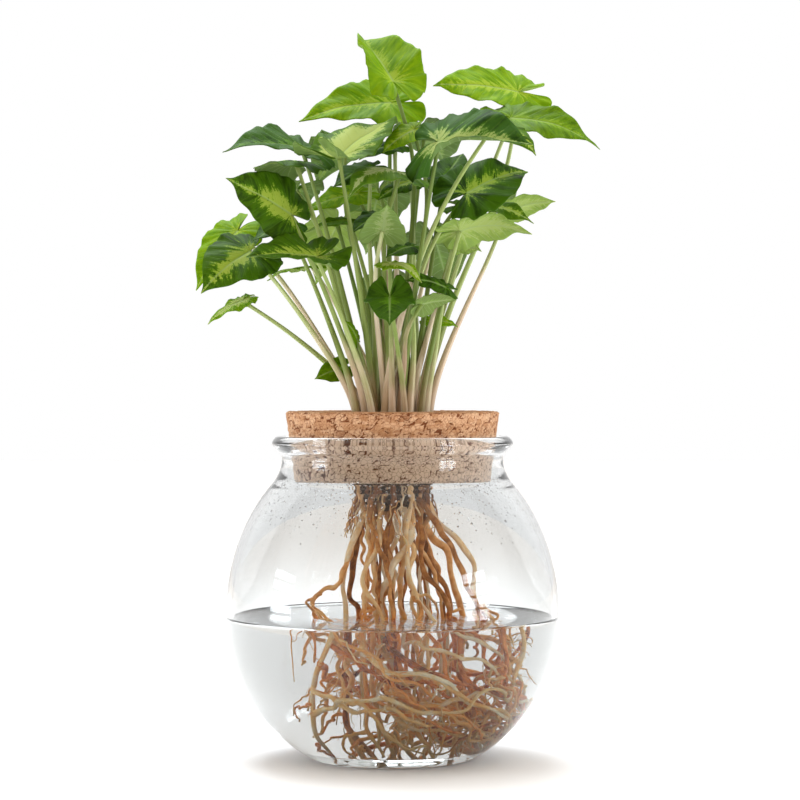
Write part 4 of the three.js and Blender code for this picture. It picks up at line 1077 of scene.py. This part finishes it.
# The paler, greyer underside, and the relief of its ribs
grey_green = add(tree, "Mix", {0: youth, 6: linear("#879d60"), 7: linear("#a6ba6a")}, **COLOURS)
matt = add(tree, "Mix", {0: 0.62, 6: top, 7: grey_green}, **COLOURS)
any_vein = add(tree, "Math", [side_vein, midrib], operation="MAXIMUM")
under_tint = add(tree, "Math", [any_vein, 0.22], operation="MULTIPLY")
below = add(tree, "Mix", {0: under_tint, 6: matt, 7: linear("#b3c294")}, **COLOURS)
colour = add(tree, "Mix", {0: under, 6: top, 7: below}, **COLOURS)
roughness = add(tree, "MapRange", [under, 0.0, 1.0, 0.46, 0.65])
raised = add(tree, "Math", [under, 1.6, -0.8], operation="MULTIPLY_ADD")
vein_relief = add(tree, "Math", [any_vein, raised], operation="MULTIPLY")
relief = add(tree, "Math", [cells, 0.15, vein_relief], operation="MULTIPLY_ADD")
veins = add(tree, "Bump", {"Strength": 0.4, "Distance": 0.2 * MM, "Height": relief})
surface = add(tree, "BsdfPrincipled", {"Base Color": colour, "Roughness": roughness,
                                       "Specular IOR Level": 0.05, "Normal": veins})
glow = add(tree, "Mix", {0: 0.35, 6: colour, 7: linear("#93bb18")}, **COLOURS)
through = add(tree, "BsdfTranslucent", {"Color": glow, "Normal": veins})
blade_mix = add(tree, "MixShader", [0.28, surface, through])
add(tree, "OutputMaterial", {"Surface": blade_mix})

# %% [markdown]
# ### Petioles
#
# A petiole's line is read from its solid: planes at even heights cut the
# solid, and the middle of each cut that lies near the line so far is a point of
# the line. Rounding the corners out of it gives the smooth curve of a stalk.
# The real ones are about 2 mm thick at the blade and 4 mm at the base, where
# they wrap each other as sheaths, and they are channelled on one side.

# %% Petiole lines
FOOT_HEIGHT, CUT_STEP, SEARCH = 128.5, 1.6, 4.0
PETIOLE_STATIONS, SMOOTHINGS = 44, 24


def petiole_line(node, leaf):
    """The middles of a solid's cuts by level planes, each found within a few millimetres of where the last
    two point, and then averaged with their neighbours, one part, two parts, one part, many times over."""
    mesh = NODES[node].data
    corners = np.empty(len(mesh.vertices) * 3, dtype=np.float32)
    mesh.vertices.foreach_get("co", corners)
    corners = corners.reshape(-1, 3).astype(float) / MM
    loops = np.empty(len(mesh.loops), dtype=np.int32)
    mesh.loops.foreach_get("vertex_index", loops)
    triangle = corners[loops.reshape(-1, 3)]
    start, end = triangle.reshape(-1, 3), np.roll(triangle, -1, axis=1).reshape(-1, 3)
    at, face = np.array(leaf["at"], dtype=float), unit(np.array(leaf["face"], dtype=float))
    line = []
    for height in np.arange(FOOT_HEIGHT, at[2] - 5, CUT_STEP):
        crossing = (start[:, 2] - height) * (end[:, 2] - height) < 0
        share = ((height - start[crossing, 2]) / (end[crossing, 2] - start[crossing, 2]))[:, None]
        cut = start[crossing] + share * (end[crossing] - start[crossing])
        if line:
            expected = line[-1] + (line[-1] - line[-2] if len(line) > 1 else 0)
            cut = cut[np.hypot(*(cut - expected)[:, :2].T) < SEARCH]
        if len(cut) < 3:
            break
        line.append((cut.min(0) + cut.max(0)) / 2)
    line = evenly(np.array([*line, at - 0.5 * face]), PETIOLE_STATIONS)
    for _ in range(SMOOTHINGS):
        line[1:-1] = (line[:-2] + 2 * line[1:-1] + line[2:]) / 4
    return line


petiole_lines = np.array([petiole_line(f"leaf_{k:02d}", leaf) for k, leaf in enumerate(LEAVES, 1)])
widest = round(float(np.abs(petiole_lines[..., 0]).max()), 1)
print("petiole lines:", petiole_lines.shape, "the farthest is", widest, "mm out")

# %% [markdown]
# Petioles are pale to olive green. Towards the rootstock they turn pinkish brown
# where the old sheaths dry, higher up on the older ones. Long streaks run along
# the stalk, because its fibres do.

# %% Petiole material
stalk, tree = new_material("petiole skin")
place = add(tree, "TexCoord", out="Object")
height = add(tree, "SeparateXYZ", [place], "Z")
seed, along, around, tone, dry_height = (
    add(tree, "Attribute", out="Fac", attribute_name=name)
    for name in ("seed", "along", "around", "tone", "dry")
)
stalk_place = add(tree, "CombineXYZ", [along, around, seed])
lengthways = add(tree, "VectorMath", [stalk_place, (1.5, 3.0, 1.0)], operation="MULTIPLY")
streaks = add(tree, "TexNoise", {"Vector": lengthways, "Scale": 3.0, "Detail": 3.0, "Roughness": 0.6})
blotches = add(tree, "TexNoise", {"Vector": place, "Scale": scale_for(11.1), "Detail": 2.0})
level = add(tree, "Math", [blotches, 0.04, height], operation="MULTIPLY_ADD")
over_dry = add(tree, "Math", [level, dry_height], operation="SUBTRACT")
dry = add(tree, "MapRange", [over_dry, 0.0, 36 * MM, 0.9, 0.0], **SOFT)
shifted = add(tree, "Math", [streaks, 0.9, -0.45], operation="MULTIPLY_ADD")
shade = add(tree, "Math", [tone, shifted], operation="ADD", use_clamp=True)
fresh = add(tree, "ValToRGB", [shade], stops=[(0.0, "#526728"), (0.35, "#75893f"), (0.7, "#95a65c"),
                                              (1.0, "#c4cc98")])
aged = add(tree, "ValToRGB", [shade], stops=[(0.0, "#8f705c"), (0.35, "#bd9f88"), (0.7, "#dac2ab"),
                                             (1.0, "#eee2ce")])
stalk_colour = add(tree, "Mix", {0: dry, 6: fresh, 7: aged}, **COLOURS)
fibres = add(tree, "Bump", {"Strength": 0.3, "Distance": 0.4 * MM, "Height": streaks})
surface = add(tree, "BsdfPrincipled", {"Base Color": stalk_colour, "Roughness": 0.45,
                                       "Specular IOR Level": 0.3, "Normal": fibres})
add(tree, "OutputMaterial", {"Surface": surface})

# %% Blades and petioles
SIDES, CHANNEL_DEPTH, CHANNEL_WIDTH = 14, 0.22, 0.5
TIP_RADIUS, BASE_GROWTH, KNEE = 0.8, 1.2, 0.25
LOW_LEAF, LOW_LEAF_SIZE = 180, 0.75
SEED_STEP, OLD_SHARE = 3.7, 0.3
rng = np.random.default_rng(23)
angle = full_turn(SIDES)
channel = 1 - CHANNEL_DEPTH * np.exp(-((angle - np.pi) / CHANNEL_WIDTH) ** 2)
blade_triangles = 0
for k, (leaf, line) in enumerate(zip(LEAVES, petiole_lines), 1):
    node = f"leaf_{k:02d}"
    points, faces, numbers = blade(leaf)
    numbers.update(zip(("cream", "youth", "painted_sheen", "broken"), LOOKS[leaf["look"]]), seed=SEED_STEP * k)
    piece(f"blade_{k:02d}", points, faces, leaf_skin, [node], numbers)
    blade_triangles += sum(len(f) - 2 for f in faces)
    share = np.linspace(0, 1, PETIOLE_STATIONS)
    size = 1.0 if leaf["at"][2] > LOW_LEAF else LOW_LEAF_SIZE
    knee = KNEE * np.exp(-((share - 0.99) / 0.02) ** 2)
    radius = size * (TIP_RADIUS + BASE_GROWTH * (1 - share) ** 1.8 * rng.uniform(0.8, 1.1)) + knee
    points, faces, lengthwise, _ = tubes(line[None], radius[None], SIDES, channel)
    around = np.tile(np.abs(angle / np.pi - 1), PETIOLE_STATIONS)
    old = rng.uniform() < OLD_SHARE
    tone, dry_to = rng.uniform(0.2, 0.85), rng.uniform(0.15, 0.175) + 0.05 * old
    numbers = {"along": lengthwise, "around": around, "seed": SEED_STEP * k, "tone": tone, "dry": dry_to}
    piece(f"petiole_{k:02d}", points, faces, stalk, [node], numbers)
print("blade triangles:", blade_triangles)

# %% [markdown]
# ## The studio
#
# The photograph is taken straight from the front with a long lens, on white.
# Two windows light the plant from the left and the right, and they show as pale
# patches on the bowl. A large soft light above and behind models the leaves and
# shines through them. The white world fills the shadows, and it is what the
# glass refracts. Overhead it is brighter, which keeps the floor white, and
# behind the camera it is dimmer and warmer, like a room. The bowl's front
# mirrors that side, so a white room there would lay a haze over the roots.
# The camera itself sees plain white.

# %% Floor
FLOOR_REACH, FLOOR_BELOW = 4000, 0.2
corners = [(x * FLOOR_REACH * MM, y * FLOOR_REACH * MM, -FLOOR_BELOW * MM)
           for x, y in ((-1, -1), (1, -1), (1, 1), (-1, 1))]
floor_mesh = bpy.data.meshes.new("floor")
floor_mesh.from_pydata(corners, [], [(0, 1, 2, 3)])
floor = new_object("floor", floor_mesh)
paper, tree = new_material("white studio paper")
surface = add(tree, "BsdfPrincipled", {"Base Color": linear("#fbfbfb"), "Roughness": 0.9})
add(tree, "OutputMaterial", {"Surface": surface})
floor_mesh.materials.append(paper)

# %% Sky
OVERHEAD, CAMERA_SIDE = 1.6, (0.55, 0.42, 0.28, 1.0)
world = bpy.data.worlds.new("studio white")
bpy.context.scene.world = world
world.use_nodes = True
sky = world.node_tree
sky.nodes.clear()
direction = add(sky, "TexCoord", out="Generated")
upward = add(sky, "SeparateXYZ", [direction], "Z")
above = add(sky, "MapRange", [upward, 0.15, 1.0, 1.0, OVERHEAD])
to_camera = add(sky, "VectorMath", [direction, (0.0, -0.96, 0.28)], "Value", operation="DOT_PRODUCT")
dimmed = add(sky, "MapRange", [to_camera, 0.2, 0.85], **SOFT)
room = add(sky, "Mix", {0: dimmed, 6: linear("#ffffff"), 7: CAMERA_SIDE}, **COLOURS)
seen = add(sky, "LightPath", out="Is Camera Ray")
tint = add(sky, "Mix", {0: seen, 6: room, 7: linear("#ffffff")}, **COLOURS)
strength = add(sky, "Mix", {0: seen, 2: above, 3: 1.0})
backdrop = add(sky, "Background", {"Color": tint, "Strength": strength})
add(sky, "OutputWorld", {"Surface": backdrop})

# %% Windows
WINDOW_COLOUR = (0.85, 0.93, 1.0)


def window(name, place, target, size, panes, bar, power):
    """A window of soft rectangular panes round a place in millimetres, facing a target. Bars between the
    panes take the share bar of its width and height, and every third row of panes is dimmer."""
    place, target = np.array(place, dtype=float), np.array(target, dtype=float)
    back = unit(place - target)
    right = unit(np.cross([0, 1.0, 0] if abs(back[2]) > 0.9 else UP, back))
    up = np.cross(back, right)
    for i, j in np.ndindex(panes):
        data = bpy.data.lights.new(f"{name} {i} {j}", "AREA")
        data.shape = "RECTANGLE"
        data.size = (1 - bar) * size[0] / panes[0] * MM
        data.size_y = (1 - bar) * size[1] / panes[1] * MM
        data.energy = power / (panes[0] * panes[1]) * (1.0 - 0.35 * (j % 3 == 2))
        data.color = WINDOW_COLOUR
        middle = place + ((i + 0.5) / panes[0] - 0.5) * size[0] * right
        middle = middle + ((j + 0.5) / panes[1] - 0.5) * size[1] * up
        pane = new_object(data.name, data)
        rows = [[*map(float, (right[k], up[k], back[k], middle[k] * MM))] for k in range(3)]
        pane.matrix_world = Matrix([*rows, [0, 0, 0, 1]])


# Place, what it faces, width and height, panes, share of the bars, and watts
window("left window", (-1000, -165, 165), (0, 0, 110), (420, 400), (1, 5), 0.3, 4.0)
window("right window", (870, -530, 215), (0, 0, 110), (340, 430), (2, 4), 0.2, 4.8)
window("roof light", (-150, 420, 1150), (0, 0, 200), (700, 700), (1, 1), 0.0, 13.2)

# %% [markdown]
# The camera stands level with the lowest leaves, 1.1 m in front of the axis,
# and looks down by less than half a degree.

# %% Camera
CAMERA_PLACE, LOOKS_DOWN = (3.15, -1092, 158.6), 0.44
camera_data = bpy.data.cameras.new("camera")
camera_data.sensor_width, camera_data.lens = 36.0, 117.0
camera_data.clip_start, camera_data.clip_end = 0.05, 20.0
camera = new_object("camera", camera_data)
camera.location = [c * MM for c in CAMERA_PLACE]
camera.rotation_euler = (math.radians(90 - LOOKS_DOWN), 0.0, 0.0)
bpy.context.scene.camera = camera
bpy.context.scene.view_settings.view_transform = "Standard"
